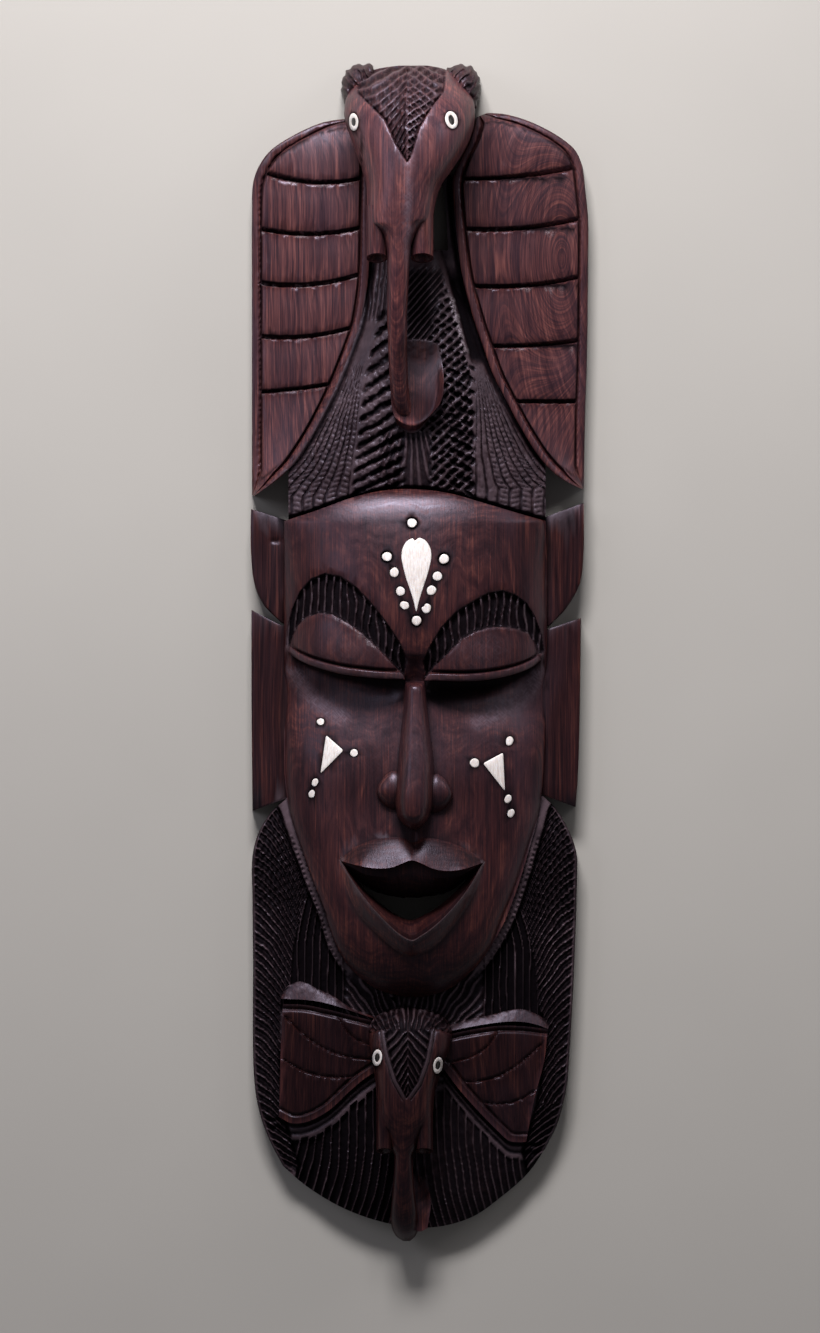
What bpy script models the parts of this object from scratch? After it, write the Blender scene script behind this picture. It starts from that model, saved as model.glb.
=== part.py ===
"""Carved wall mask: a long face with inlays between a large elephant head above and a small one below.

The carving lies on its flat back: +Z is up, +Y is the top of the carving, +X the viewer's right.
The origin is under the middle of its box, on the plane of the back. Run in Blender 4.5.
"""
import math

import bmesh
import bpy
import numpy as np

for ob in list(bpy.data.objects):
    bpy.data.objects.remove(ob, do_unlink=True)

# ---------------------------------------------------------------- drawing grid
# The carving is laid out on a drawing grid seen from straight above its middle: x to the right, y down the
# carving, one unit = 0.8 mm at the level of the board's face. Heights are millimetres above the flat back.
# A point at height h is drawn in towards the middle as an eye at EYE sees it, so outlines are given as they look.
UNIT = 0.0008           # metres per drawing unit at the level REF
MID_X, MID_Y = 410.0, 666.5
EYE = 2.200             # metres above the back
REF = 0.025             # metres above the back
SHIFT_X, SHIFT_Y = 0.00762, 0.012795   # puts the middle of the carving's box at the origin


def to_world(p):
    """drawing units and millimetres -> metres"""
    p = np.asarray(p, float)
    z = p[..., 2] * 0.001
    k = UNIT * (EYE - z) / (EYE - REF)
    return np.stack([(p[..., 0] - MID_X) * k - SHIFT_X, (MID_Y - p[..., 1]) * k - SHIFT_Y, z], axis=-1)


def to_drawing(w):
    """metres -> drawing units and millimetres"""
    w = np.asarray(w, float)
    k = UNIT * (EYE - w[..., 2]) / (EYE - REF)
    return np.stack([(w[..., 0] + SHIFT_X) / k + MID_X, MID_Y - (w[..., 1] + SHIFT_Y) / k, w[..., 2] * 1000], axis=-1)


# ---------------------------------------------------------------- curves
def dense(pts, n=16):
    """points of the smooth curve through the control points"""
    p = np.asarray(pts, float)
    if len(p) == 2:
        t = np.linspace(0, 1, n + 1)[:, None]
        return p[0] * (1 - t) + p[1] * t
    q = np.vstack([2 * p[0] - p[1], p, 2 * p[-1] - p[-2]])
    out = []
    for i in range(1, len(q) - 2):
        p0, p1, p2, p3 = q[i - 1:i + 3]
        d0, d1, d2 = (max(np.linalg.norm(b - a), 1e-6) ** 0.5 for a, b in ((p0, p1), (p1, p2), (p2, p3)))
        t0, t1, t2, t3 = 0.0, d0, d0 + d1, d0 + d1 + d2
        t = np.linspace(t1, t2, n, endpoint=False)[:, None]
        a1 = (t1 - t) / (t1 - t0) * p0 + (t - t0) / (t1 - t0) * p1
        a2 = (t2 - t) / (t2 - t1) * p1 + (t - t1) / (t2 - t1) * p2
        a3 = (t3 - t) / (t3 - t2) * p2 + (t - t2) / (t3 - t2) * p3
        b1 = (t2 - t) / (t2 - t0) * a1 + (t - t0) / (t2 - t0) * a2
        b2 = (t3 - t) / (t3 - t1) * a2 + (t - t1) / (t3 - t1) * a3
        out.append((t2 - t) / (t2 - t1) * b1 + (t - t1) / (t2 - t1) * b2)
    out.append(p[-1:])
    return np.vstack(out)


def arc(d):
    return np.concatenate([[0.0], np.cumsum(np.linalg.norm(np.diff(d, axis=0), axis=1))])


def along(pts, s):
    """points at the fractions s of the curve's length"""
    d = dense(pts)
    a = arc(d)
    s = np.asarray(s, float) * a[-1]
    return np.stack([np.interp(s, a, d[:, k]) for k in range(d.shape[1])], axis=-1)


def fraction(pts, point):
    d = dense(pts)
    a = arc(d)
    return a[np.argmin(np.linalg.norm(d - np.asarray(point, float), axis=1))] / a[-1]


def length(pts):
    return arc(dense(pts))[-1]


def prof(pairs, x):
    """smooth profile without overshoot through (position, value) pairs"""
    p = np.asarray(pairs, float)
    px, py = p[:, 0], p[:, 1]
    h = np.diff(px)
    m = np.diff(py) / h
    d = np.empty(len(px))
    d[0], d[-1] = m[0], m[-1]
    for i in range(1, len(px) - 1):
        if m[i - 1] * m[i] <= 0:
            d[i] = 0
        else:
            w1, w2 = 2 * h[i] + h[i - 1], h[i] + 2 * h[i - 1]
            d[i] = (w1 + w2) / (w1 / m[i - 1] + w2 / m[i])
    x = np.clip(np.asarray(x, float), px[0], px[-1])
    i = np.clip(np.searchsorted(px, x, side="right") - 1, 0, len(h) - 1)
    t = (x - px[i]) / h[i]
    return ((1 + 2 * t) * (1 - t) ** 2 * py[i] + t * (1 - t) ** 2 * h[i] * d[i]
            + t * t * (3 - 2 * t) * py[i + 1] + t * t * (t - 1) * h[i] * d[i + 1])


def smooth(a, b, x):
    t = np.clip((np.asarray(x, float) - a) / (b - a), 0, 1)
    return t * t * (3 - 2 * t)


def inside(poly, x, y):
    """signed distance to a closed outline, positive inside"""
    p = np.asarray(poly, float)
    q = np.roll(p, -1, axis=0)
    x, y = np.asarray(x, float), np.asarray(y, float)
    best = np.full(x.shape, 1e9)
    odd = np.zeros(x.shape, bool)
    for (ax, ay), (bx, by) in zip(p, q):
        dx, dy = bx - ax, by - ay
        t = np.clip(((x - ax) * dx + (y - ay) * dy) / max(dx * dx + dy * dy, 1e-9), 0, 1)
        best = np.minimum(best, (x - ax - t * dx) ** 2 + (y - ay - t * dy) ** 2)
        if ay != by:
            odd ^= ((ay > y) != (by > y)) & (x < (bx - ax) * (y - ay) / (by - ay) + ax)
    return np.where(odd, 1, -1) * np.sqrt(best)


# ---------------------------------------------------------------- grids
def spread(total, first, last, step):
    """positions from 0 to total: fixed offsets at both ends, even steps between them"""
    first, last = np.asarray(first, float), np.asarray(last, float)
    k = min(1.0, total / (1.5 * (first[-1] + last[-1]) + 1e-6))
    a, b = first * k, total - last[::-1] * k
    n = max(1, int(round((b[0] - a[-1]) / step)))
    return np.concatenate([a, np.linspace(a[-1], b[0], n + 1)[1:-1], b])


def coons(top, right, bottom, left, us, vs):
    """grid between four side curves; us and vs are fractions"""
    t, b, l, r = along(top, us), along(bottom, us), along(left, vs), along(right, vs)
    u, v = us[None, :, None], vs[:, None, None]
    return ((1 - v) * t[None] + v * b[None] + (1 - u) * l[:, None] + u * r[:, None]
            - ((1 - u) * (1 - v) * t[0] + u * (1 - v) * t[-1] + (1 - u) * v * b[0] + u * v * b[-1]))


def fractions(n):
    return np.linspace(0, 1, n + 1)


# ---------------------------------------------------------------- outlines, in drawing units
EAR_L_OUT = [(344, 119), (332, 120.5), (321, 123), (296, 134), (270, 151), (258, 168), (253, 184), (252, 215),
             (252, 300), (252, 400), (252, 495)]
EAR_L_IN = [(372, 119), (371, 150), (370, 200), (369, 260), (367, 288), (361, 323), (352, 349), (337, 387),
            (322, 418), (309, 441), (291, 467), (270, 485), (254, 496)]
EAR_L_ROWS = [((344, 119), (372, 119), 0), ((256, 171), (370, 176), 10), ((252, 228), (369.5, 226), 8),
              ((252, 281), (368, 272), 8.5), ((252, 335), (359, 326), 6.5), ((252, 394), (338, 384), 1),
              ((252, 495), (254, 496), 0)]
EAR_R_OUT = [(487, 113), (495, 113.2), (504, 114), (523, 119), (542, 127), (561, 138), (575, 150), (582, 165),
             (585, 187), (588, 218), (588, 266), (587, 357), (585, 418), (584, 488)]
EAR_R_IN = [(477, 117), (470, 140), (460, 160), (453, 178), (454, 208), (458, 247), (463, 279), (475, 323),
            (484, 349), (492, 372), (507, 402), (521, 428), (538, 455), (553, 472), (567, 482), (582, 489)]
EAR_R_ROWS = [((487, 113), (477, 117), 0), ((583, 167), (455, 180), 4.5), ((588, 217), (456, 230), 6),
              ((588, 277), (465, 287), 5.5), ((587, 339), (484, 347), 2.5), ((585.5, 401), (508, 402), 1),
              ((584, 488), (582, 489), 0)]
FACE_TOP = [(284, 521), (315, 511), (351, 498), (380, 491), (412, 489), (448, 493), (484, 503), (521, 514), (546, 521)]
FACE_LEFT = [(284, 521), (284, 600), (284, 700), (285, 780), (290, 812), (303, 852), (314, 883), (326, 913)]
FACE_RIGHT = [(546, 521), (547, 600), (546, 700), (543, 780), (538, 816), (528, 853), (517, 889), (505, 921)]
FACE_BOTTOM = [(326, 913), (336, 945), (352, 970), (377, 989), (412, 997), (447, 990), (472, 971), (490, 948),
               (505, 921)]
BOARD_TOP = [(287, 798), (350, 797), (412, 797), (480, 796), (543, 796)]
BOARD_LEFT = [(287, 798), (269, 815), (258, 834), (252.5, 856), (252.5, 900), (253, 960), (254, 1076), (259, 1110),
              (269, 1139), (283, 1166)]
BOARD_RIGHT = [(543, 796), (556, 809), (569, 831), (576.5, 853), (577, 875), (574.5, 960), (570, 1045), (566, 1091),
               (557, 1125), (545, 1149)]
BOARD_BOTTOM = [(283, 1166), (305, 1185), (339, 1206), (375, 1220), (405, 1226), (436, 1227), (472, 1217),
                (501, 1197), (528, 1173), (545, 1149)]


def face_outline(n=40):
    return np.vstack([along(FACE_TOP, fractions(n))[:-1], along(FACE_RIGHT, fractions(n))[:-1],
                      along(FACE_BOTTOM, fractions(n))[::-1][:-1], along(FACE_LEFT, fractions(n))[::-1][:-1]])


# ---------------------------------------------------------------- heights, in millimetres
FACE_MIDLINE = [(489, 57), (497, 63), (512, 68.5), (540, 74), (575, 78), (615, 79.5), (645, 78), (668, 74),
                (700, 68), (740, 66), (790, 67), (835, 69.5), (870, 71), (915, 72), (945, 70.5), (967, 66),
                (982, 59), (992, 51), (997, 44)]
FACE_RIM = [(489, 52), (521, 40), (560, 33), (620, 29), (700, 28), (780, 30), (840, 35), (900, 41), (950, 45),
            (997, 42)]
FACE_AXIS = [(489, 412), (620, 415), (720, 415.5), (830, 414), (997, 412)]
FACE_HALF = [(489, 60), (497, 82), (505, 103), (514, 120), (524, 131), (560, 131.5), (700, 131), (780, 129),
             (812, 124), (852, 112.5), (889, 100.5), (921, 88), (948, 77), (971, 60), (989, 36), (997, 16)]


def face_blank(x, y):
    """the face as one smooth swelling, before the eyes are cut in"""
    half, mid = prof(FACE_HALF, y), prof(FACE_AXIS, y)
    s = np.clip(np.abs(x - mid) / half, 0, 1)
    rim, crown = prof(FACE_RIM, y), prof(FACE_MIDLINE, y)
    return rim + (crown - rim) * (1 - s ** 2.3) ** 0.72


def face_height(x, y):
    z = face_blank(x, y)
    for cx, cy, side in ((343, 693, -1), (492, 691, 1)):
        # hollow under the lid: deep just under it, running out down the cheek
        dx = (x - cx) / np.where((x - cx) * side > 0, 74.0, 66.0)
        dy = (y - cy)
        up = np.exp(-(np.minimum(dy, 0) / 26.0) ** 2)
        down = np.exp(-(np.maximum(dy, 0) / 42.0) ** 2)
        z = z - 15.0 * np.exp(-(dx ** 2) ** 1.3) * up * down
    # dips either side of the mouth and the nose
    for cx, cy in ((368, 815), (460, 816)):
        z = z - 2.5 * np.exp(-((x - cx) / 26) ** 2 - ((y - cy) / 34) ** 2)
    return z


MOUND_AXIS = [(180, 428), (263, 428), (330, 424), (400, 418), (490, 412), (540, 412)]
MOUND_HALF_R = [(180, 12), (240, 12), (263, 17), (285, 27), (324, 52), (357, 66), (400, 92), (440, 112), (480, 130),
                (540, 140)]
MOUND_HALF_L = [(180, 30), (240, 40), (285, 62), (324, 72), (357, 84), (400, 104), (440, 122), (480, 134), (540, 140)]
MOUND_CROWN = [(180, 20), (236, 22), (256, 34), (275, 44), (310, 51), (350, 54), (400, 53), (440, 50), (470, 47),
               (495, 44), (540, 44)]


def mound_height(x, y):
    mid = prof(MOUND_AXIS, y)
    half = np.where(x > mid, prof(MOUND_HALF_R, y), prof(MOUND_HALF_L, y))
    s = np.abs(x - mid) / half
    crown = prof(MOUND_CROWN, y)
    low = 21.0 + 5.0 * smooth(330, 520, y)
    bulge = np.clip(1 - np.clip(s, 0, 1) ** 2.2, 0, 1) ** 0.75
    return low + np.maximum(crown - low, 0) * bulge


def board_height(x, y):
    half = prof([(796, 135), (856, 162), (1076, 158), (1110, 150), (1150, 130), (1190, 100), (1227, 60)], y)
    s = np.clip(np.abs(x - 413.5) / half, 0, 1)
    crown = prof([(796, 34), (900, 36), (1010, 33), (1100, 31), (1190, 27), (1227, 20)], y)
    rim = prof([(796, 21), (1100, 19), (1227, 14)], y)
    return rim + (crown - rim) * (1 - s ** 2.6) ** 0.8


# ---------------------------------------------------------------- heads and trunks: sections across the carving
# y: left, right, top, level of greatest width, underside, roundness over, roundness under
BIG_HEAD = {
    "left": [(65.5, 399), (68, 381), (73, 366), (80, 357.5), (90, 350), (102, 345.2), (114, 344), (124, 346), (137, 350),
             (153, 356), (170, 362), (188, 366.5), (204, 367.5), (218, 371), (232, 379), (246, 385.5), (258, 387.5),
             (285, 387.5), (312, 387), (340, 388), (366, 389), (392, 390.5), (408, 393), (420, 398.5), (428, 404),
             (432, 409)],
    "right": [(65.5, 428), (68, 441), (73, 452), (80, 460), (90, 468), (102, 474), (114, 475.2), (124, 474.2),
              (137, 470.5), (153, 463), (170, 452), (188, 440), (204, 434.5), (218, 430), (232, 421), (246, 413),
              (258, 409.5), (285, 408.5), (312, 407), (340, 407), (366, 407.5), (392, 409), (408, 412), (420, 416),
              (428, 417), (432, 415)],
    "top": [(65.5, 52), (68, 66), (73, 80), (80, 91), (90, 100), (102, 107), (118, 112.5), (137, 116), (165, 117.5),
            (200, 115), (232, 110), (258, 105.5), (285, 102), (312, 98), (340, 91), (366, 83), (392, 73), (408, 65),
            (420, 55), (428, 45), (432, 38)],
    "wide": [(65.5, 30), (80, 44), (102, 56), (137, 66), (165, 74), (188, 82), (204, 86), (232, 92), (258, 94.5),
             (285, 93), (312, 89), (340, 82), (366, 73.5), (392, 62), (408, 53), (420, 44), (432, 34)],
    "under": [(65.5, -4.0), (172, -4.0), (184, 10), (192, 40), (204, 58), (218, 67), (232, 74), (246, 80), (258, 83),
              (285, 83), (312, 79.5), (340, 72), (366, 62.5), (392, 48), (408, 30), (420, 24), (432, 24)],
}
SMALL_HEAD = {
    "left": [(1007, 400), (1010, 388), (1015, 378), (1022, 371.5), (1032, 368.3), (1044, 369), (1058, 371.5),
             (1074, 374.5), (1096, 376.5), (1118, 378), (1132, 383), (1144, 391), (1154, 394.5), (1180, 393.5),
             (1204, 391.5), (1218, 390.5), (1228, 392), (1236, 396), (1241, 403)],
    "right": [(1007, 416), (1010, 430), (1015, 441), (1022, 448), (1032, 452), (1044, 450.5), (1058, 446),
              (1074, 440.5), (1096, 434.5), (1118, 430.5), (1132, 425), (1144, 416), (1154, 412.5), (1180, 413.5),
              (1204, 416), (1218, 418), (1228, 418.5), (1236, 415.5), (1241, 410)],
    "top": [(1007, 42), (1010, 50), (1015, 58), (1022, 64), (1036, 70), (1058, 74), (1085, 75.5), (1110, 74),
            (1132, 69), (1154, 63.5), (1180, 58), (1204, 51), (1218, 45), (1228, 39), (1236, 32), (1241, 24)],
    "wide": [(1007, 32), (1022, 40), (1058, 48), (1085, 52), (1110, 55), (1132, 56), (1154, 54), (1180, 49),
             (1204, 41), (1218, 33), (1228, 27), (1241, 18)],
    "under": [(1007, -4.6), (1108, -4.6), (1118, 20), (1126, 38), (1138, 43), (1154, 44.5), (1180, 40.5), (1200, 32),
              (1210, 22), (1220, 12), (1230, 9), (1241, 12)],
}


def head_section(head, y):
    return [prof(head[k], y) for k in ("left", "right", "top", "wide", "under")]


def head_ring(head, y, n):
    """n points round the section at y, starting at the left side and going over the top"""
    left, right, top, wide, under = head_section(head, y)
    a = np.linspace(0, 2 * np.pi, n, endpoint=False)
    cx, hw = (left + right) / 2, (right - left) / 2
    c, s = -np.cos(a), np.sin(a)
    over = s >= 0
    e = np.where(over, 0.92, 0.85)
    x = cx + hw * np.sign(c) * np.abs(c) ** e
    z = wide + np.where(over, top - wide, wide - under) * np.sign(s) * np.abs(s) ** e
    return np.stack([x, np.full(n, float(y)), z], axis=-1)


def head_height(head, x, y):
    """height of the head's upper surface over a drawn point"""
    left, right, top, wide, under = head_section(head, y)
    s = np.clip(np.abs(x - (left + right) / 2) / ((right - left) / 2), 0, 1)
    return wide + (top - wide) * (1 - s ** (2 / 0.92)) ** (0.92 / 2)


# ---------------------------------------------------------------- ears
def groove(t, wide_up, wide_down, deep, lip):
    """a cut across the grain: t is the distance past its bottom, with a raised edge on the far side"""
    t = np.asarray(t, float)
    up = -deep * np.clip(1 + t / wide_up, 0, 1) * (t < 0)
    down = np.where((t >= 0) & (t < wide_down), -deep + (deep + lip) * t / wide_down, 0)
    tail = np.where(t >= wide_down, lip * np.exp(-(t - wide_down) / 5.0), 0)
    return up + down + tail


def ear_grid(outer, inner, rows, z_out, z_in, out_offsets, in_offsets, row_offsets, step_u, step_v, relief):
    """grid over an ear; relief(cross, d_out, d_in, band) adds the carving"""
    f_out = np.array([fraction(outer, r[0]) for r in rows])
    f_in = np.array([fraction(inner, r[1]) for r in rows])
    sag = np.array([r[2] for r in rows], float)
    lo, li = length(outer), length(inner)
    v = np.concatenate([[0], np.cumsum((np.diff(f_out) * lo + np.diff(f_in) * li) / 2)])
    marks = [0.0, v[-1]]
    for i in range(1, len(rows) - 1):
        marks += [v[i] + o for o in row_offsets]
    marks = np.unique(np.round(marks, 3))
    vs = [marks[0]]
    for a, b in zip(marks[:-1], marks[1:]):
        n = max(1, int(np.ceil((b - a) / step_v - 1e-6)))
        vs += list(a + (b - a) * np.arange(1, n + 1) / n)
    vs = np.array(vs)
    a, b = along(outer, np.interp(vs, v, f_out)), along(inner, np.interp(vs, v, f_in))
    w = np.linalg.norm(b - a, axis=1)
    n_mid = max(2, int(round((w.max() - out_offsets[-1] - in_offsets[-1]) / step_u)))
    grid = np.zeros((len(vs), len(out_offsets) + len(in_offsets) + n_mid - 1, 3))
    for i, vv in enumerate(vs):
        k = min(1.0, w[i] / (1.35 * (out_offsets[-1] + in_offsets[-1])))
        p, q = np.array(out_offsets) * k, w[i] - np.array(in_offsets[::-1]) * k
        c = np.concatenate([p, np.linspace(p[-1], q[0], n_mid + 1)[1:-1], q])
        u = c / w[i]
        xy = a[i] + (b[i] - a[i]) * u[:, None]
        xy[:, 1] += np.interp(vv, v, sag) * 4 * u * (1 - u)
        j = np.clip(np.searchsorted(v, vv, side="right") - 1, 0, len(v) - 2)
        frac = (vv - v[j]) / (v[j + 1] - v[j])
        near = 1 + np.argmin(np.abs(v[1:-1] - vv))
        z = z_out + (z_in - z_out) * smooth(-0.15, 1.15, u) ** 0.9
        z = z + relief(vv - v[near], c / k, (w[i] - c) / k, frac, xy, k)
        grid[i] = np.column_stack([xy, z])
    return grid


def ear_relief(cross, d_out, d_in, frac, xy, k, deep=2.6):
    """rim, rim groove, swelling between the cross cuts, and the cross cuts"""
    panel = smooth(9.5, 13.0, d_in) * smooth(9.0, 11.0, d_out)
    z = 1.3 * np.sin(np.pi * np.clip(frac, 0, 1)) ** 0.6 * panel
    z = z + groove(cross, 4.0, 1.4, deep, 0.9) * panel
    z = z - deep * np.exp(-((d_in - 10.0) / 1.7) ** 2) - 0.75 * deep * np.exp(-((d_out - 9.3) / 1.3) ** 2)
    return z * min(1.0, k * 1.3)


# ---------------------------------------------------------------- closed meshes from grids
def slab(grid, floor):
    """closed solid between a grid and a flat floor"""
    nv, nu = grid.shape[:2]
    verts = list(grid.reshape(-1, 3))
    faces = [(i * nu + j, (i + 1) * nu + j, (i + 1) * nu + j + 1, i * nu + j + 1)
             for i in range(nv - 1) for j in range(nu - 1)]
    loop = ([j for j in range(nu)] + [i * nu + nu - 1 for i in range(1, nv)]
            + [(nv - 1) * nu + j for j in range(nu - 2, -1, -1)] + [i * nu for i in range(nv - 2, 0, -1)])
    base = len(verts)
    for k in loop:
        p = verts[k].copy()
        p[2] = floor
        verts.append(p)
    m = len(loop)
    for k in range(m):
        n = (k + 1) % m
        faces.append((loop[k], loop[n], base + n, base + k))
    faces.append(tuple(base + k for k in range(m)))
    return np.array(verts), faces


def tube(rings, first_cap=True):
    """closed solid through rings of equal counts, each end closed by a fan"""
    rings = np.asarray(rings)
    nr, n = rings.shape[:2]
    verts = list(rings.reshape(-1, 3)) + [rings[0].mean(axis=0), rings[-1].mean(axis=0)]
    faces = [(i * n + j, i * n + (j + 1) % n, (i + 1) * n + (j + 1) % n, (i + 1) * n + j)
             for i in range(nr - 1) for j in range(n)]
    faces += [(nr * n, (j + 1) % n, j) for j in range(n)]
    faces += [(nr * n + 1, (nr - 1) * n + j, (nr - 1) * n + (j + 1) % n) for j in range(n)]
    return np.array(verts), faces


def solid(name, verts, faces, collection):
    """mesh object from drawing units, its faces turned outwards"""
    me = bpy.data.meshes.new(name)
    me.from_pydata([tuple(v) for v in to_world(verts)], [], faces)
    bm = bmesh.new()
    bm.from_mesh(me)
    bmesh.ops.recalc_face_normals(bm, faces=bm.faces[:])
    bm.to_mesh(me)
    bm.free()
    ob = bpy.data.objects.new(name, me)
    collection.objects.link(ob)
    return ob


# ---------------------------------------------------------------- the pieces of the relief, at any fineness
def tab_sides():
    """four side tabs: top, right, bottom and left curves"""
    return {
        "tab_upper_left": ([(251, 509), (270, 515), (302, 526)], [(302, 526), (302, 622)],
                           [(282, 623.5), (302, 622)], [(251, 509), (250.6, 530), (251, 553), (254.5, 584), (263, 604), (282, 623.5)]),
        "tab_lower_left": ([(251.5, 610), (281, 625), (302, 631)], [(302, 631), (303, 793)],
                           [(252.5, 811), (287, 798), (303, 793)], [(251.5, 610), (251.5, 700), (252.5, 811)]),
        "tab_upper_right": ([(530, 522), (545, 517), (583.5, 503)], [(583.5, 503), (584, 530), (583.5, 553), (579.5, 584),
                            (568, 606), (549, 626.5)], [(530, 625), (549, 626.5)], [(530, 522), (530, 625)]),
        "tab_lower_right": ([(530, 634), (547, 629.5), (581, 618)], [(581, 618), (579.5, 722), (578, 773), (575.5, 807)],
                            [(528, 789), (543, 795), (575.5, 807)], [(530, 634), (528, 789)]),
    }


def brow(outer, inner, n_u, n_v, height):
    """crescent between two arcs with common ends"""
    us, vs = fractions(n_u), fractions(n_v)
    a, b = along(outer, us), along(inner, us)
    g = a[None] * (1 - vs[:, None, None]) + b[None] * vs[:, None, None]
    return np.concatenate([g, height(g[..., 0], g[..., 1], us[None, :], vs[:, None])[..., None]], axis=-1)


BROW_L_OUT = [(286, 646), (287.5, 626), (292, 608), (300, 590.5), (311, 578.5), (325, 573), (341, 576), (357, 587),
              (372, 603), (387, 622), (400, 642), (408, 660)]
BROW_L_IN = [(290, 647), (293, 636), (299, 625), (308, 617), (320, 613.5), (333, 615.5), (348, 624), (361, 633.5),
             (374, 645), (385, 656), (395, 667), (404, 676)]
BROW_R_OUT = [(544.5, 652), (542, 635), (535, 616), (527, 603), (515, 594), (502, 590), (488, 592.5), (474, 600),
              (456, 611), (441, 627), (430, 645), (422.5, 662)]
BROW_R_IN = [(538, 655), (534, 643), (528, 634), (517, 629.5), (504, 627.5), (490, 628), (475, 632.5), (462, 640),
             (450, 652), (441, 661), (433, 669), (426, 677)]
LID_L_LOW = [(288, 652), (297, 659), (308, 664.5), (321, 669), (341, 674), (362, 677), (383, 679), (405, 679.5)]
LID_R_LOW = [(541, 660), (533, 666.5), (520, 672.5), (502, 677.5), (482, 680.5), (462, 681.5), (443, 681),
             (424, 680.5)]

LID_SWELL = 5.0


def lid_height(x, y, u, v):
    """v runs from the brow down to the lid's edge; the last part is the raised rim"""
    z = face_blank(x, y) - 1.5 + LID_SWELL * np.sin(np.pi * np.clip(u, 0, 1)) ** 0.7 * np.sin(np.pi * np.clip(v, 0, 1) * 0.62)
    rim = smooth(0.80, 0.84, v)
    return z - 1.6 * np.exp(-((v - 0.80) / 0.02) ** 2) + 0.8 * rim


NOSE_L = [(640, 412), (656, 409.5), (668, 408.5), (690, 406.5), (726, 402), (772, 398), (800, 395.5), (814, 397),
          (822, 401), (827, 406.5), (830, 412)]
NOSE_R = [(640, 417), (656, 419.5), (668, 421.5), (690, 424), (726, 429), (772, 433.5), (800, 432.5), (814, 430),
          (822, 426.5), (827, 421.5), (830, 416)]
NOSE_TOP = [(640, 77), (668, 79), (690, 82), (726, 88), (772, 95), (800, 98), (814, 97), (822, 93), (827, 87), (830, 79)]


def nose_grid(n_u, ys):
    u = np.linspace(-1, 1, n_u)
    ys = np.asarray(ys, float)
    l, r, top = prof(NOSE_L, ys), prof(NOSE_R, ys), prof(NOSE_TOP, ys)
    a = np.sin(u * np.pi / 2)
    x = (l + r)[:, None] / 2 + (r - l)[:, None] / 2 * a[None]
    base = 62.0
    z = base + (top - base)[:, None] * np.clip(1 - np.abs(a[None]) ** 2.6, 0, 1) ** 0.42
    return np.stack([x, np.broadcast_to(ys[:, None], x.shape), z], axis=-1)


MOUTH_EDGE_UP = [(340, 860), (352, 863.5), (365, 866.5), (379, 868), (393, 866.5), (405, 861.5), (412, 859.5), (421, 862.5),
                 (434, 868.5), (450, 870.5), (466, 868), (484, 862)]
LIP_UP_TOP = [(336, 859.5), (347, 851), (360, 844), (376, 838.5), (392, 836.5), (404, 838), (413, 842), (424, 837.5),
              (440, 839), (459, 845), (474, 853), (488, 861.5)]
MOUTH_EDGE_LOW = [(340, 860), (351, 879), (361, 894), (372, 908), (385, 922), (399, 935), (412, 941.5), (421, 937),
                  (436, 926), (453, 909), (470, 887), (484, 862)]
LIP_LOW_OUT = [(336, 861), (344, 886), (355, 911), (367, 925.5), (379, 937), (394, 950), (410, 958), (420, 956),
               (437, 946), (459, 920), (476, 893), (488, 863)]
HOLE_UP = [(357, 880), (372, 890), (386, 896), (400, 899.5), (413, 901), (427, 899), (441, 895), (455, 888), (468, 877)]
HOLE_LOW = [(357, 880), (367, 892), (380, 903), (395, 914), (411, 920), (426, 914), (440, 905), (455, 892), (468, 877)]
LIP_CREST = 13.0        # how far the lips stand out of the face


def lip_crest(x, y):
    return face_blank(x, y) + LIP_CREST * smooth(0, 26, x - 337) * smooth(0, 26, 487 - x)


def upper_lip_grid(n_u, n_v):
    us, vs = fractions(n_u), fractions(n_v)
    a, b = along(LIP_UP_TOP, us), along(MOUTH_EDGE_UP, us) + np.array([0, 1.6])
    g = a[None] * (1 - vs[:, None, None]) + b[None] * vs[:, None, None]
    x, y = g[..., 0], g[..., 1]
    f, c = face_height(x, y) - 0.4, lip_crest(x, y)
    t = vs[:, None]
    z = f + (c - f) * (0.25 * t + 0.75 * t ** 0.7)
    z = z - 1.6 * np.exp(-((x - 413.5) / 4.0) ** 2) * (1 - smooth(0.3, 0.9, t))
    return np.stack([x, y, z], axis=-1)


def lower_lip_grid(n_u, n_v):
    us, vs = fractions(n_u), fractions(n_v)
    a, b = along(MOUTH_EDGE_LOW, us) - np.array([0, 1.8]), along(LIP_LOW_OUT, us)
    g = a[None] * (1 - vs[:, None, None]) + b[None] * vs[:, None, None]
    x, y = g[..., 0], g[..., 1]
    f, c = face_height(x, y) - 0.4, lip_crest(x, y)
    t = vs[:, None]
    z = c + (f - c) * (0.75 * t + 0.25 * t ** 3)
    return np.stack([x, y, z], axis=-1)


def mouth_rings(n):
    """opening of the mouth: its rim, then narrowing to the slot at the bottom of the slopes"""
    us = fractions(n)
    rim = np.vstack([along(MOUTH_EDGE_UP, us), along(MOUTH_EDGE_LOW, us)[::-1][1:-1]])
    slot = np.vstack([along(HOLE_UP, us), along(HOLE_LOW, us)[::-1][1:-1]])
    def ring(t, z):
        p = rim * (1 - t) + slot * t
        return np.column_stack([p, np.full(len(p), z) if np.isscalar(z) else z])
    high = lip_crest(rim[:, 0], rim[:, 1])
    up = rim.copy()
    wide = rim.mean(axis=0) + (rim - rim.mean(axis=0)) * 1.0
    return [np.column_stack([wide, high + 14]), np.column_stack([up, high + 0.4]), ring(0.30, 0.55 * high + 0.45 * 55),
            ring(0.72, 0.2 * high + 0.8 * 54), ring(1.0, 50.0), ring(1.0, -7.0)]


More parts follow.
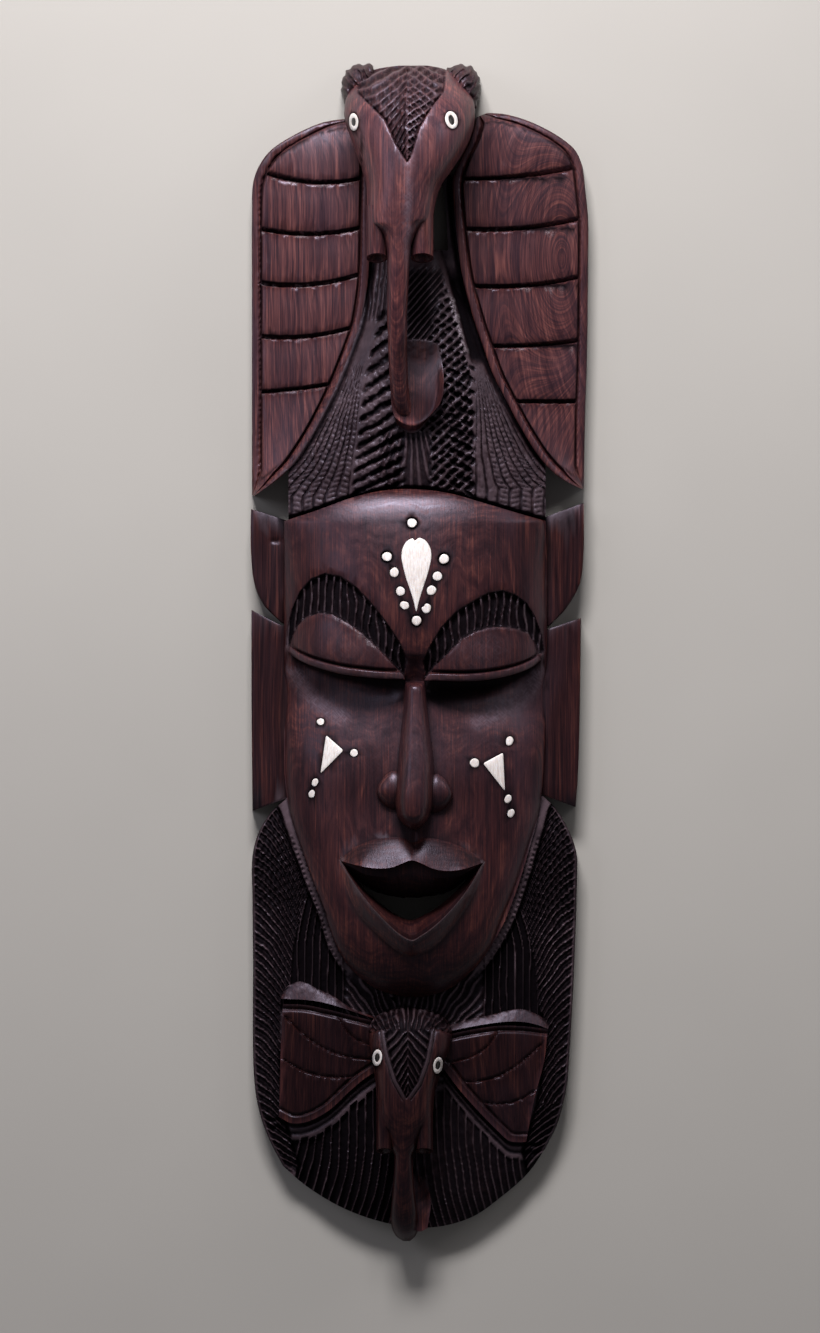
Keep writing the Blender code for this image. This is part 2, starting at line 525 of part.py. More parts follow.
PAD_TOP = [(398, 343), (410, 340), (424, 340), (437, 344)]
PAD_RIGHT = [(437, 344), (442, 362), (443.8, 380), (443, 394), (439, 405), (431, 414)]
PAD_BOTTOM = [(397, 424), (403, 430), (410, 433), (418, 431.5), (425, 424), (431, 414)]
PAD_LEFT = [(398, 343), (394, 365), (391, 388), (392, 408), (397, 424)]


def pad_grid(us, vs):
    g = coons(PAD_TOP, PAD_RIGHT, PAD_BOTTOM, PAD_LEFT, us, vs)
    x, y = g[..., 0], g[..., 1]
    e = np.minimum(us[None, :], 1 - us[None, :]) * 0 + (1 - us[None, :])
    rise = smooth(344, 405, y)
    lip = np.exp(-(e * 44 / 4.0) ** 1.6) * smooth(352, 395, y) + np.exp(-((1 - vs[:, None]) * 80 / 5.0) ** 1.6) * 0.8
    dish = 1 - smooth(0.0, 0.5, e) * 0
    z = 53.0 + 7.5 * rise + 5.5 * np.clip(lip, 0, 1) * (1 - 0.0 * dish) - 2.0 * np.sin(np.pi * np.clip(e, 0, 1)) * rise
    drop = smooth(0, 0.10, 1 - vs[:, None])
    z = z - 10.0 * (1 - drop) * smooth(0.2, 0.8, 1 - e * 0)
    return np.stack([x, y, z], axis=-1)


SMALL_EAR_L = ([(283, 1004), (305, 1005), (330, 1010), (350, 1015), (374, 1021)], [(374, 1021), (376, 1050), (378, 1070)],
               [(279, 1117), (291, 1123), (306, 1122), (328, 1111), (351, 1090), (364, 1079), (378, 1070)],
               [(283, 1004), (281, 1040), (280, 1080), (279, 1117)])
SMALL_EAR_R = ([(446, 1035), (470, 1030), (497, 1026), (520, 1026), (548, 1029)],
               [(548, 1029), (544, 1062), (535, 1096), (526, 1142)],
               [(443, 1068), (458, 1088), (470, 1102), (484, 1117), (498, 1131), (510, 1141), (526, 1142)],
               [(446, 1035), (445, 1052), (443, 1068)])
SMALL_EAR_L_CUTS = [[(286, 1018), (305, 1036), (327, 1050), (348, 1057), (372, 1060)],
                    [(285, 1061), (303, 1071), (327, 1077), (350, 1077), (374, 1073)],
                    [(338, 1012), (346, 1030), (357, 1040), (372, 1046)]]
SMALL_EAR_R_CUTS = [[(448, 1064), (468, 1058), (484, 1050), (493, 1040), (499, 1028)],
                    [(452, 1081), (475, 1082), (497, 1077), (518, 1065), (541, 1045)],
                    [(466, 1098), (484, 1103), (504, 1104), (520, 1100), (534, 1092)]]


def polyline_distance(pts, x, y):
    """signed distance to an open curve: positive below it (larger y)"""
    d = dense(pts, 6)
    best = np.full(x.shape, 1e9)
    side = np.zeros(x.shape)
    for (ax, ay), (bx, by) in zip(d[:-1], d[1:]):
        dx, dy = bx - ax, by - ay
        t = np.clip(((x - ax) * dx + (y - ay) * dy) / max(dx * dx + dy * dy, 1e-9), 0, 1)
        r = (x - ax - t * dx) ** 2 + (y - ay - t * dy) ** 2
        near = r < best
        best = np.where(near, r, best)
        side = np.where(near, np.sign(dx * (y - ay) - dy * (x - ax)), side)
    return np.sqrt(best) * np.where(side == 0, 1, side)


def small_ear_grid(sides, cuts, us, vs, deep):
    g = coons(*[sides[i] for i in (0, 1, 2, 3)], us, vs)
    x, y = g[..., 0], g[..., 1]
    z = board_height(x, y) + 4.0
    low = polyline_distance(sides[2], x, y)          # minus above the lower edge
    high = polyline_distance(sides[0], x, y)
    if deep:
        panel = smooth(8.5, 11, -low) * smooth(5.0, 7.0, high)
        for c in cuts:
            t = polyline_distance(c, x, y)
            z = z + groove(t, 3.4, 1.4, deep, 0.7) * panel
        z = z - deep * np.exp(-((-low - 8.3) / 1.5) ** 2)
        z = z - deep * 1.2 * np.exp(-((high - 4.5) / 2.0) ** 2)
    return np.stack([x, y, z], axis=-1)


TUFT_L = ([(346, 71), (353, 65), (364, 63.5), (374, 64.5)], [(374, 64.5), (376, 84), (372, 104)],
          [(345, 106), (358, 108), (372, 104)], [(346, 71), (342, 79), (341.5, 92), (345, 106)])
TUFT_R = ([(447, 67), (459, 64), (470, 65.5), (477, 71)], [(477, 71), (480, 80), (480.5, 92), (477, 108)],
          [(450, 108), (462, 111), (477, 108)], [(447, 67), (446, 86), (450, 108)])


def tuft_grid(sides, us, vs, seed):
    g = coons(sides[0], sides[1], sides[2], sides[3], us, vs)
    u, v = us[None, :], vs[:, None]
    edge = np.clip(4 * u * (1 - u), 0, 1) ** 0.35 * np.clip(4 * v * (1 - v), 0, 1) ** 0.35
    z = 34 + 34 * edge
    return np.stack([g[..., 0], g[..., 1], z], axis=-1)


def stub_rings(x0, x1, n, mid_z, deep_z, y0, y1, steps, slant):
    """jaw stub: an oval rod running down the carving, cut off aslant and hollowed at its end"""
    a = np.linspace(0, 2 * np.pi, n, endpoint=False)
    cx, hw = (x0 + x1) / 2, (x1 - x0) / 2

    def ring(y, t, scale, slope):
        z = mid_z[0] + (mid_z[1] - mid_z[0]) * t
        return np.stack([cx - hw * scale * np.cos(a), y + slope * (1 - scale * np.sin(a)) / 2,
                         z + deep_z * scale * np.sin(a)], axis=-1)
    rings = [ring(y0 + (y1 - y0) * k / steps, k / steps, 1.0, slant * k / steps) for k in range(steps + 1)]
    return rings + [ring(y1, 1.0, 0.74, slant), ring(y1 - 6, 0.9, 0.55, slant)]


SMALL_PAD = ([(410, 1174), (419, 1174), (427, 1180)], [(427, 1180), (430.8, 1203), (427.5, 1228)],
             [(412, 1229), (420, 1231.5), (427.5, 1228)], [(410, 1174), (410, 1203), (412, 1229)])


# ---------------------------------------------------------------- hollow behind the face
HOLLOW_TOP = [(330, 556), (370, 546), (412, 543), (456, 546), (500, 557)]
HOLLOW_LEFT = [(330, 556), (311, 590), (307, 640), (307, 700), (308, 770), (313, 830), (330, 890)]
HOLLOW_RIGHT = [(500, 557), (519, 590), (523, 640), (523, 700), (521, 770), (516, 830), (500, 890)]
HOLLOW_BOTTOM = [(330, 890), (348, 930), (380, 957), (412, 965), (446, 957), (478, 930), (500, 890)]
WALL = 15.0             # thickness left between the hollow and the face


def hollow_height(x, y, us, vs):
    u, v = us[None, :], vs[:, None]
    edge = (1 - np.abs(2 * u - 1) ** 4) ** 0.5 * (1 - np.abs(2 * v - 1) ** 5) ** 0.5
    return 6.0 + (face_height(x, y) - WALL - 6.0) * edge


# ---------------------------------------------------------------- inlays
def oval(cx, cy, rx, ry, n, turn=0.0):
    a = np.linspace(0, 2 * np.pi, n, endpoint=False)
    dx, dy = rx * np.cos(a), ry * np.sin(a)
    c, s = math.cos(turn), math.sin(turn)
    return np.column_stack([cx + dx * c - dy * s, cy + dx * s + dy * c])


def offset(poly, d):
    """outline moved outwards by d"""
    p = np.asarray(poly, float)
    a, b = p - np.roll(p, 1, axis=0), np.roll(p, -1, axis=0) - p
    na = np.column_stack([a[:, 1], -a[:, 0]]) / np.linalg.norm(a, axis=1)[:, None]
    nb = np.column_stack([b[:, 1], -b[:, 0]]) / np.linalg.norm(b, axis=1)[:, None]
    area = 0.5 * np.sum(p[:, 0] * np.roll(p[:, 1], -1) - np.roll(p[:, 0], -1) * p[:, 1])
    m = na + nb
    m = m / np.maximum(np.sum(m * na, axis=1), 0.45)[:, None]
    return p + m * d * (1 if area > 0 else -1)


def plate(outline, surface, up, down, shrink=(1.0,)):
    """solid under an outline that follows a surface: from down under it to up over it"""
    o = np.asarray(outline, float)
    c = o.mean(axis=0)
    rings = []
    for f in shrink[::-1]:
        p = c + (o - c) * f
        rings.append(np.column_stack([p, surface(p[:, 0], p[:, 1]) + up]))
    for f in shrink:
        p = c + (o - c) * f
        rings.append(np.column_stack([p, surface(p[:, 0], p[:, 1]) - down]))
    return tube(rings)


def ring_plate(outline, hole, surface, up, down):
    """flat ring between two outlines of equal counts"""
    loops = []
    for o, dz in ((outline, up), (hole, up), (hole, -down), (outline, -down)):
        o = np.asarray(o, float)
        loops.append(np.column_stack([o, surface(o[:, 0], o[:, 1]) + dz]))
    n = len(outline)
    faces = [(i * n + j, i * n + (j + 1) % n, ((i + 1) % 4) * n + (j + 1) % n, ((i + 1) % 4) * n + j)
             for i in range(4) for j in range(n)]
    return np.vstack(loops), faces


DROP_Y = (538.0, 611.0)
DROP_HALF = [(538, 3.5), (540, 8.0), (545, 12.2), (551, 14.5), (557, 15.0), (566, 13.6), (578, 10.2), (590, 6.3),
             (602, 2.6), (611, 0.5)]


def drop_outline(n):
    ys = DROP_Y[0] + (DROP_Y[1] - DROP_Y[0]) * (0.5 - 0.5 * np.cos(np.pi * np.linspace(0, 1, n))) ** 1.15
    w = prof(DROP_HALF, ys)
    return np.vstack([np.column_stack([416.3 + w, ys]), np.column_stack([416.3 - w, ys])[::-1]])


# centre, half sizes, and whether a wider dark bed shows round it
FOREHEAD_DOTS = [(412, 523, 4.6, 4.6, 1), (387, 556.7, 4.8, 4.6, 1), (444, 559, 4.8, 4.9, 1), (416.6, 620.7, 4.8, 4.7, 1),
                 (394.3, 572.5, 4.5, 4.8, 0), (400.5, 591.3, 4.4, 4.7, 0), (404.6, 605.4, 4.6, 4.0, 0),
                 (437.4, 576.3, 4.6, 4.7, 0), (431.4, 590.4, 4.6, 4.9, 0), (426.4, 608.5, 4.6, 4.8, 0)]
CHEEK_DOTS_L = [(320.6, 721.8, 3.6, 3.5, 0), (354, 753, 3.9, 3.8, 0), (315, 782.4, 3.1, 4.1, 0), (311.7, 794, 3.1, 4.0, 0)]
CHEEK_DOTS_R = [(509.5, 741, 3.6, 4.8, 0), (474.6, 763, 4.6, 4.7, 0), (508, 799, 3.3, 4.6, 0), (511, 813.3, 3.3, 4.4, 0)]
TRIANGLE_L = [(326.0, 735.0), (343.6, 750.4), (320.4, 774.0)]
TRIANGLE_R = [(503.2, 752.5), (483.0, 763.5), (505.0, 791.5)]
EYES = {"large_left": (353.6, 122, 4.7, 8.7, 1.8, 3.9, -0.05, BIG_HEAD), "large_right": (451.5, 120, 6.2, 8.8, 2.4, 4.8, -0.25, BIG_HEAD),
        "small_left": (377.2, 1057.7, 4.9, 8.1, 2.1, 4.0, 0.12, SMALL_HEAD),
        "small_right": (438, 1065.4, 4.7, 8.2, 2.1, 4.0, 0.18, SMALL_HEAD)}
GAP = 0.375             # 0.3 mm in drawing units
BED = 1.7               # how far the dark bed reaches past a dot


# ---------------------------------------------------------------- scene collections and materials
model = bpy.data.collections.new("wooden_mask")
cutters = bpy.data.collections.new("cutters")
for c in (model, cutters):
    bpy.context.scene.collection.children.link(c)


def material(name, color, rough):
    m = bpy.data.materials.new(name)
    m.use_nodes = True
    p = m.node_tree.nodes["Principled BSDF"]
    p.inputs["Base Color"].default_value = (*color, 1)
    p.inputs["Roughness"].default_value = rough
    p.inputs["Metallic"].default_value = 0.0
    return m


WOOD = material("wood", (0.075, 0.022, 0.018), 0.38)
BONE = material("bone", (0.86, 0.80, 0.74), 0.45)
PUPIL = material("pupil", (0.012, 0.010, 0.010), 0.35)


def closed(mesh):
    bm = bmesh.new()
    bm.from_mesh(mesh)
    ok = all(len(e.link_faces) == 2 for e in bm.edges)
    bm.free()
    return ok


def combine(base, other, how):
    """Boolean of other into base; the second solver is for a result that the first leaves open"""
    m = base.modifiers.new(other.name, "BOOLEAN")
    m.operation, m.object = how, other
    for solver in ("EXACT", "MANIFOLD"):
        m.solver = solver
        bpy.context.view_layer.update()
        me = bpy.data.meshes.new_from_object(base.evaluated_get(bpy.context.evaluated_depsgraph_get()))
        if closed(me):
            break
    base.modifiers.clear()
    base.data = me
    bpy.data.objects.remove(other, do_unlink=True)


def grid_solid(name, grid, floor):
    return solid(name, *slab(grid, floor), cutters)


def lift(points, height):
    """adds heights to a flat grid"""
    return np.concatenate([points, height[..., None]], axis=-1)


# ---------------------------------------------------------------- the carving
us, vs = fractions(14), fractions(21)
flat = coons(FACE_TOP, FACE_RIGHT, FACE_BOTTOM, FACE_LEFT, us, vs)
body = grid_solid("mask_body", lift(flat, face_height(flat[..., 0], flat[..., 1])), -4.0)

# textured field between the large ears
ys = np.concatenate([[168, 187, 206], np.linspace(228, 532, 14)])
left = np.interp(ys, [168, 288, 323, 349, 387, 418, 441, 467, 472, 532], [360, 360, 354, 345, 330, 315, 302, 289, 288.5, 288.5])
right = np.interp(ys, [168, 181, 208, 247, 279, 323, 349, 402, 455, 468, 532],
                  [440, 458, 460, 464, 470, 481, 490, 513, 543, 545.5, 545.5])
u = fractions(11)
x = left[:, None] * (1 - u) + right[:, None] * u
y = np.broadcast_to(ys[:, None], x.shape)
combine(body, grid_solid("mound", np.stack([x, y, mound_height(x, y)], axis=-1), -4.2), "UNION")

# large ears: rim, rim groove and five cuts across each
for name, sides, z_out, z_in, floor in (("ear_left", (EAR_L_OUT, EAR_L_IN, EAR_L_ROWS), 17, 31, -4.4),
                                        ("ear_right", (EAR_R_OUT, EAR_R_IN, EAR_R_ROWS), 17, 31, -4.6)):
    g = ear_grid(*sides, z_out, z_in, [0, 8.5, 11.5], [0, 8.0, 10.5, 13.5], [-4.2, 0, 1.6], 45, 30, ear_relief)
    combine(body, grid_solid(name, g, floor), "UNION")

# side tabs
for k, (name, sides) in enumerate(tab_sides().items()):
    g = coons(*sides, fractions(2), fractions(4))
    z = 22 + 6 * smooth(0, 50, 26 - np.abs(np.abs(g[..., 0] - 415) - 137))
    combine(body, grid_solid(name, lift(g, z), -4.8 - 0.2 * k), "UNION")

# lower board and its ears
g = coons(BOARD_TOP, BOARD_RIGHT, BOARD_BOTTOM, BOARD_LEFT, fractions(11), fractions(13))
combine(body, grid_solid("board", lift(g, board_height(g[..., 0], g[..., 1])), -5.6), "UNION")
for name, sides, cuts, floor in (("small_ear_left", SMALL_EAR_L, SMALL_EAR_L_CUTS, 8.0),
                                 ("small_ear_right", SMALL_EAR_R, SMALL_EAR_R_CUTS, 8.2)):
    g = small_ear_grid(sides, cuts, fractions(6), fractions(6), 0)
    combine(body, grid_solid(name, g, floor), "UNION")

# brows, eyelids, nose and lips
for name, outer, inner, floor in (("brow_left", BROW_L_OUT, BROW_L_IN, 20.0), ("brow_right", BROW_R_OUT, BROW_R_IN, 20.3)):
    g = brow(outer, inner, 11, 1, lambda x, y, u, v: face_blank(x, y) + 1.0)
    combine(body, grid_solid(name, g, floor), "UNION")
for name, upper, lower, floor in (("lid_left", BROW_L_IN, LID_L_LOW, 21.0), ("lid_right", BROW_R_IN, LID_R_LOW, 21.3)):
    g = brow([(x, y - 2.0) for x, y in upper], lower, 10, 6, lid_height)      # its top edge lies inside the brow
    combine(body, grid_solid(name, g, floor), "UNION")
g = nose_grid(7, [640, 656, 690, 726, 772, 800, 814, 824, 830])
combine(body, grid_solid("nose", g, 30.0), "UNION")
for name, x0, x1, y0, y1 in (("nostril_left", 377, 401, 773, 806), ("nostril_right", 429, 453, 777, 809)):
    a = np.linspace(0, 2 * np.pi, 10, endpoint=False)
    rings = [np.column_stack([np.full(10, 0.0), np.full(10, 0.0), np.full(10, 0.0)]) for _ in range(5)]
    for k, t in enumerate((-0.92, -0.55, 0.0, 0.55, 0.92)):
        r = math.sqrt(1 - t * t)
        rings[k] = np.column_stack([(x0 + x1) / 2 - (x1 - x0) / 2 * r * np.cos(a),
                                    np.full(10, (y0 + y1) / 2 + (y1 - y0) / 2 * t), 64 + 18 * r * np.sin(a)])
    combine(body, solid(name, *tube(rings), cutters), "UNION")
combine(body, grid_solid("lip_upper", upper_lip_grid(12, 2), 40.0), "UNION")
combine(body, grid_solid("lip_lower", lower_lip_grid(14, 2), 40.4), "UNION")

# small head, its jaw and trunk
ys = [1007, 1010, 1016, 1026, 1044, 1072, 1108, 1118, 1132, 1144, 1154, 1180, 1200, 1218, 1230, 1237, 1241]
combine(body, solid("small_head", *tube([head_ring(SMALL_HEAD, y, 12) for y in ys]), cutters), "UNION")
for name, x0, x1 in (("small_jaw_left", 377.5, 392), ("small_jaw_right", 417, 432.5)):
    combine(body, solid(name, *tube(stub_rings(x0, x1, 8, (50, 46), 9, 1112, 1150, 1, 6)), cutters), "UNION")

g = coons(*SMALL_PAD, fractions(2), fractions(3))
combine(body, grid_solid("small_pad", lift(g, 27 + 9 * smooth(1172, 1222, g[..., 1])), 9.0), "UNION")

# large head with its free-standing trunk, tufts behind it, and the pad the trunk ends on
combine(body, grid_solid("tuft_left", tuft_grid(TUFT_L, fractions(3), fractions(3), 1), -6.0), "UNION")
combine(body, grid_solid("tuft_right", tuft_grid(TUFT_R, fractions(3), fractions(3), 2), -6.2), "UNION")
combine(body, grid_solid("pad", pad_grid(fractions(5), fractions(7)), 20.0), "UNION")
ys = [65.5, 68, 73, 80, 90, 104, 122, 145, 170, 188, 196, 206, 220, 236, 252, 285, 325, 366, 392, 408, 420, 428, 432]
combine(body, solid("big_head", *tube([head_ring(BIG_HEAD, y, 14) for y in ys]), cutters), "UNION")
for name, x0, x1 in (("jaw_left", 366.5, 387.5), ("jaw_right", 411, 433.5)):
    combine(body, solid(name, *tube(stub_rings(x0, x1, 10, (84, 79), 13, 214, 253, 1, 11)), cutters), "UNION")

# flat back
g = coons([(200, 20), (640, 20)], [(640, 20), (640, 1300)], [(200, 1300), (640, 1300)], [(200, 20), (200, 1300)],
          fractions(1), fractions(1))
combine(body, grid_solid("back", lift(g, np.zeros(g.shape[:2])), -20.0), "DIFFERENCE")

# hollow behind the face
us, vs = fractions(8), fractions(12)
g = coons(HOLLOW_TOP, HOLLOW_RIGHT, HOLLOW_BOTTOM, HOLLOW_LEFT, us, vs)
combine(body, grid_solid("hollow", lift(g, hollow_height(g[..., 0], g[..., 1], us, vs)), -6.0), "DIFFERENCE")

# mouth, cut through to the hollow
combine(body, solid("mouth", *tube(mouth_rings(9)), cutters), "DIFFERENCE")

# opening between the head and the right ear, and the small hole under the chin
for name, pts in (("side_hole", [(437, 186), (443.5, 186), (446.5, 215), (448, 250), (434, 250), (433.5, 218)]),
                  ("chin_hole", [(389.5, 997), (395.8, 997), (396.4, 1004.5)])):
    ring = [(x, y) for x, y in pts]
    combine(body, solid(name, *tube([[(x, y, 75.0) for x, y in ring], [(x, y, -7.0) for x, y in ring]]), cutters),
            "DIFFERENCE")

# inlays, each in a pocket of its own
def cut_pocket(outline, surface, gap, depth):
    combine(body, solid("pocket", *plate(offset(outline, gap), surface, 7.0, depth), cutters), "DIFFERENCE")


def inlay(name, mesh, mat):
    ob = solid(name, *mesh, model)
    ob.data.materials.append(mat)


DEPTH = 3.2             # of an inlay, in millimetres
PROUD = 0.35            # how far it stands out of the wood
for side, dots in (("forehead_dot_%02d", FOREHEAD_DOTS), ("cheek_dot_left_%d", CHEEK_DOTS_L),
                   ("cheek_dot_right_%d", CHEEK_DOTS_R)):
    for k, (cx, cy, rx, ry, bed) in enumerate(dots):
        o = oval(cx, cy, rx, ry, 8, 0.4)
        if bed:
            cut_pocket(oval(cx, cy, rx, ry, 10, 0.13), face_height, BED, 1.2)
        cut_pocket(o, face_height, GAP, DEPTH + 0.35)
        inlay(side % (k + 1), plate(o, face_height, PROUD, DEPTH), BONE)
o = drop_outline(8)
cut_pocket(o, face_height, GAP, DEPTH + 0.35)
inlay("forehead_teardrop", plate(o, face_height, PROUD, DEPTH), BONE)
for name, o in (("cheek_triangle_left", TRIANGLE_L), ("cheek_triangle_right", TRIANGLE_R)):
    cut_pocket(o, face_height, GAP, DEPTH + 0.35)
    inlay(name, plate(o, face_height, PROUD, DEPTH), BONE)
for name, (cx, cy, rx, ry, px, py, turn, head) in EYES.items():
    surface = lambda x, y, head=head: head_height(head, x, y)
    o = oval(cx, cy, rx, ry, 8, turn)
    cut_pocket(o, surface, GAP, DEPTH + 1.3)
    inlay("eye_ring_" + name, ring_plate(o, oval(cx, cy, px + 0.3, py + 0.3, 8, turn), surface, 0.7, DEPTH), BONE)
    inlay("eye_pupil_" + name, plate(oval(cx, cy, px - 0.1, py - 0.1, 8, turn), surface, 0.5, DEPTH), PUPIL)

body.data.materials.clear()
body.data.materials.append(WOOD)
model.objects.link(body)
cutters.objects.unlink(body)
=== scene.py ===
import math
import bmesh
import bpy
import numpy as np
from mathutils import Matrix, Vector


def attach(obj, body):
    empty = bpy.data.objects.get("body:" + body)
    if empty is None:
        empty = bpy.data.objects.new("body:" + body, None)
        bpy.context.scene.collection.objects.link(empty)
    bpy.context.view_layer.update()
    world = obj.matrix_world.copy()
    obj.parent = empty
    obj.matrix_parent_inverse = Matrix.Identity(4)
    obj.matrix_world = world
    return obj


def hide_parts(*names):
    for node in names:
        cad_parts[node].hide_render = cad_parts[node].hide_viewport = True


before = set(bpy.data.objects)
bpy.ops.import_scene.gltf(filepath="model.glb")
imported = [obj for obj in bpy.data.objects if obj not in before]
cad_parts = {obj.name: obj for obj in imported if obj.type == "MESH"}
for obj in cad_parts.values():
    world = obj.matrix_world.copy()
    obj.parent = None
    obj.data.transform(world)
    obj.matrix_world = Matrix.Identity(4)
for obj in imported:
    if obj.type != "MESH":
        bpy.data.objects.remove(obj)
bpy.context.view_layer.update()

# ---------------------------------------------------------------- drawing grid
# The carving is laid out on a drawing grid seen from straight above its middle: x to the right, y down the
# carving, one unit = 0.8 mm at the level of the board's face. Heights are millimetres above the flat back.
# A point at height h is drawn in towards the middle as an eye at EYE sees it, so outlines are given as they look.
UNIT = 0.0008           # metres per drawing unit at the level REF
MID_X, MID_Y = 410.0, 666.5
EYE = 2.200             # metres above the back
REF = 0.025             # metres above the back
SHIFT_X, SHIFT_Y = 0.00762, 0.012795   # puts the middle of the carving's box at the origin


def to_world(p):
    """drawing units and millimetres -> metres"""
    p = np.asarray(p, float)
    z = p[..., 2] * 0.001
    k = UNIT * (EYE - z) / (EYE - REF)
    return np.stack([(p[..., 0] - MID_X) * k - SHIFT_X, (MID_Y - p[..., 1]) * k - SHIFT_Y, z], axis=-1)


def to_drawing(w):
    """metres -> drawing units and millimetres"""
    w = np.asarray(w, float)
    k = UNIT * (EYE - w[..., 2]) / (EYE - REF)
    return np.stack([(w[..., 0] + SHIFT_X) / k + MID_X, MID_Y - (w[..., 1] + SHIFT_Y) / k, w[..., 2] * 1000], axis=-1)


# ---------------------------------------------------------------- curves
def dense(pts, n=16):
    """points of the smooth curve through the control points"""
    p = np.asarray(pts, float)
    if len(p) == 2:
        t = np.linspace(0, 1, n + 1)[:, None]
        return p[0] * (1 - t) + p[1] * t
    q = np.vstack([2 * p[0] - p[1], p, 2 * p[-1] - p[-2]])
    out = []
    for i in range(1, len(q) - 2):
        p0, p1, p2, p3 = q[i - 1:i + 3]
        d0, d1, d2 = (max(np.linalg.norm(b - a), 1e-6) ** 0.5 for a, b in ((p0, p1), (p1, p2), (p2, p3)))
        t0, t1, t2, t3 = 0.0, d0, d0 + d1, d0 + d1 + d2
        t = np.linspace(t1, t2, n, endpoint=False)[:, None]
        a1 = (t1 - t) / (t1 - t0) * p0 + (t - t0) / (t1 - t0) * p1
        a2 = (t2 - t) / (t2 - t1) * p1 + (t - t1) / (t2 - t1) * p2
        a3 = (t3 - t) / (t3 - t2) * p2 + (t - t2) / (t3 - t2) * p3
        b1 = (t2 - t) / (t2 - t0) * a1 + (t - t0) / (t2 - t0) * a2
        b2 = (t3 - t) / (t3 - t1) * a2 + (t - t1) / (t3 - t1) * a3
        out.append((t2 - t) / (t2 - t1) * b1 + (t - t1) / (t2 - t1) * b2)
    out.append(p[-1:])
    return np.vstack(out)


def arc(d):
    return np.concatenate([[0.0], np.cumsum(np.linalg.norm(np.diff(d, axis=0), axis=1))])


def along(pts, s):
    """points at the fractions s of the curve's length"""
    d = dense(pts)
    a = arc(d)
    s = np.asarray(s, float) * a[-1]
    return np.stack([np.interp(s, a, d[:, k]) for k in range(d.shape[1])], axis=-1)


def fraction(pts, point):
    d = dense(pts)
    a = arc(d)
    return a[np.argmin(np.linalg.norm(d - np.asarray(point, float), axis=1))] / a[-1]


def length(pts):
    return arc(dense(pts))[-1]


def prof(pairs, x):
    """smooth profile without overshoot through (position, value) pairs"""
    p = np.asarray(pairs, float)
    px, py = p[:, 0], p[:, 1]
    h = np.diff(px)
    m = np.diff(py) / h
    d = np.empty(len(px))
    d[0], d[-1] = m[0], m[-1]
    for i in range(1, len(px) - 1):
        if m[i - 1] * m[i] <= 0:
            d[i] = 0
        else:
            w1, w2 = 2 * h[i] + h[i - 1], h[i] + 2 * h[i - 1]
            d[i] = (w1 + w2) / (w1 / m[i - 1] + w2 / m[i])
    x = np.clip(np.asarray(x, float), px[0], px[-1])
    i = np.clip(np.searchsorted(px, x, side="right") - 1, 0, len(h) - 1)
    t = (x - px[i]) / h[i]
    return ((1 + 2 * t) * (1 - t) ** 2 * py[i] + t * (1 - t) ** 2 * h[i] * d[i]
            + t * t * (3 - 2 * t) * py[i + 1] + t * t * (t - 1) * h[i] * d[i + 1])


def smooth(a, b, x):
    t = np.clip((np.asarray(x, float) - a) / (b - a), 0, 1)
    return t * t * (3 - 2 * t)


def inside(poly, x, y):
    """signed distance to a closed outline, positive inside"""
    p = np.asarray(poly, float)
    q = np.roll(p, -1, axis=0)
    x, y = np.asarray(x, float), np.asarray(y, float)
    best = np.full(x.shape, 1e9)
    odd = np.zeros(x.shape, bool)
    for (ax, ay), (bx, by) in zip(p, q):
        dx, dy = bx - ax, by - ay
        t = np.clip(((x - ax) * dx + (y - ay) * dy) / max(dx * dx + dy * dy, 1e-9), 0, 1)
        best = np.minimum(best, (x - ax - t * dx) ** 2 + (y - ay - t * dy) ** 2)
        if ay != by:
            odd ^= ((ay > y) != (by > y)) & (x < (bx - ax) * (y - ay) / (by - ay) + ax)
    return np.where(odd, 1, -1) * np.sqrt(best)


# ---------------------------------------------------------------- grids
def spread(total, first, last, step):
    """positions from 0 to total: fixed offsets at both ends, even steps between them"""
    first, last = np.asarray(first, float), np.asarray(last, float)
    k = min(1.0, total / (1.5 * (first[-1] + last[-1]) + 1e-6))
    a, b = first * k, total - last[::-1] * k
    n = max(1, int(round((b[0] - a[-1]) / step)))
    return np.concatenate([a, np.linspace(a[-1], b[0], n + 1)[1:-1], b])


def coons(top, right, bottom, left, us, vs):
    """grid between four side curves; us and vs are fractions"""
    t, b, l, r = along(top, us), along(bottom, us), along(left, vs), along(right, vs)
    u, v = us[None, :, None], vs[:, None, None]
    return ((1 - v) * t[None] + v * b[None] + (1 - u) * l[:, None] + u * r[:, None]
            - ((1 - u) * (1 - v) * t[0] + u * (1 - v) * t[-1] + (1 - u) * v * b[0] + u * v * b[-1]))


def fractions(n):
    return np.linspace(0, 1, n + 1)


# ---------------------------------------------------------------- outlines, in drawing units
EAR_L_OUT = [(344, 119), (332, 120.5), (321, 123), (296, 134), (270, 151), (258, 168), (253, 184), (252, 215),
             (252, 300), (252, 400), (252, 495)]
EAR_L_IN = [(372, 119), (371, 150), (370, 200), (369, 260), (367, 288), (361, 323), (352, 349), (337, 387),
            (322, 418), (309, 441), (291, 467), (270, 485), (254, 496)]
EAR_L_ROWS = [((344, 119), (372, 119), 0), ((256, 171), (370, 176), 10), ((252, 228), (369.5, 226), 8),
              ((252, 281), (368, 272), 8.5), ((252, 335), (359, 326), 6.5), ((252, 394), (338, 384), 1),
              ((252, 495), (254, 496), 0)]
EAR_R_OUT = [(487, 113), (495, 113.2), (504, 114), (523, 119), (542, 127), (561, 138), (575, 150), (582, 165),
             (585, 187), (588, 218), (588, 266), (587, 357), (585, 418), (584, 488)]
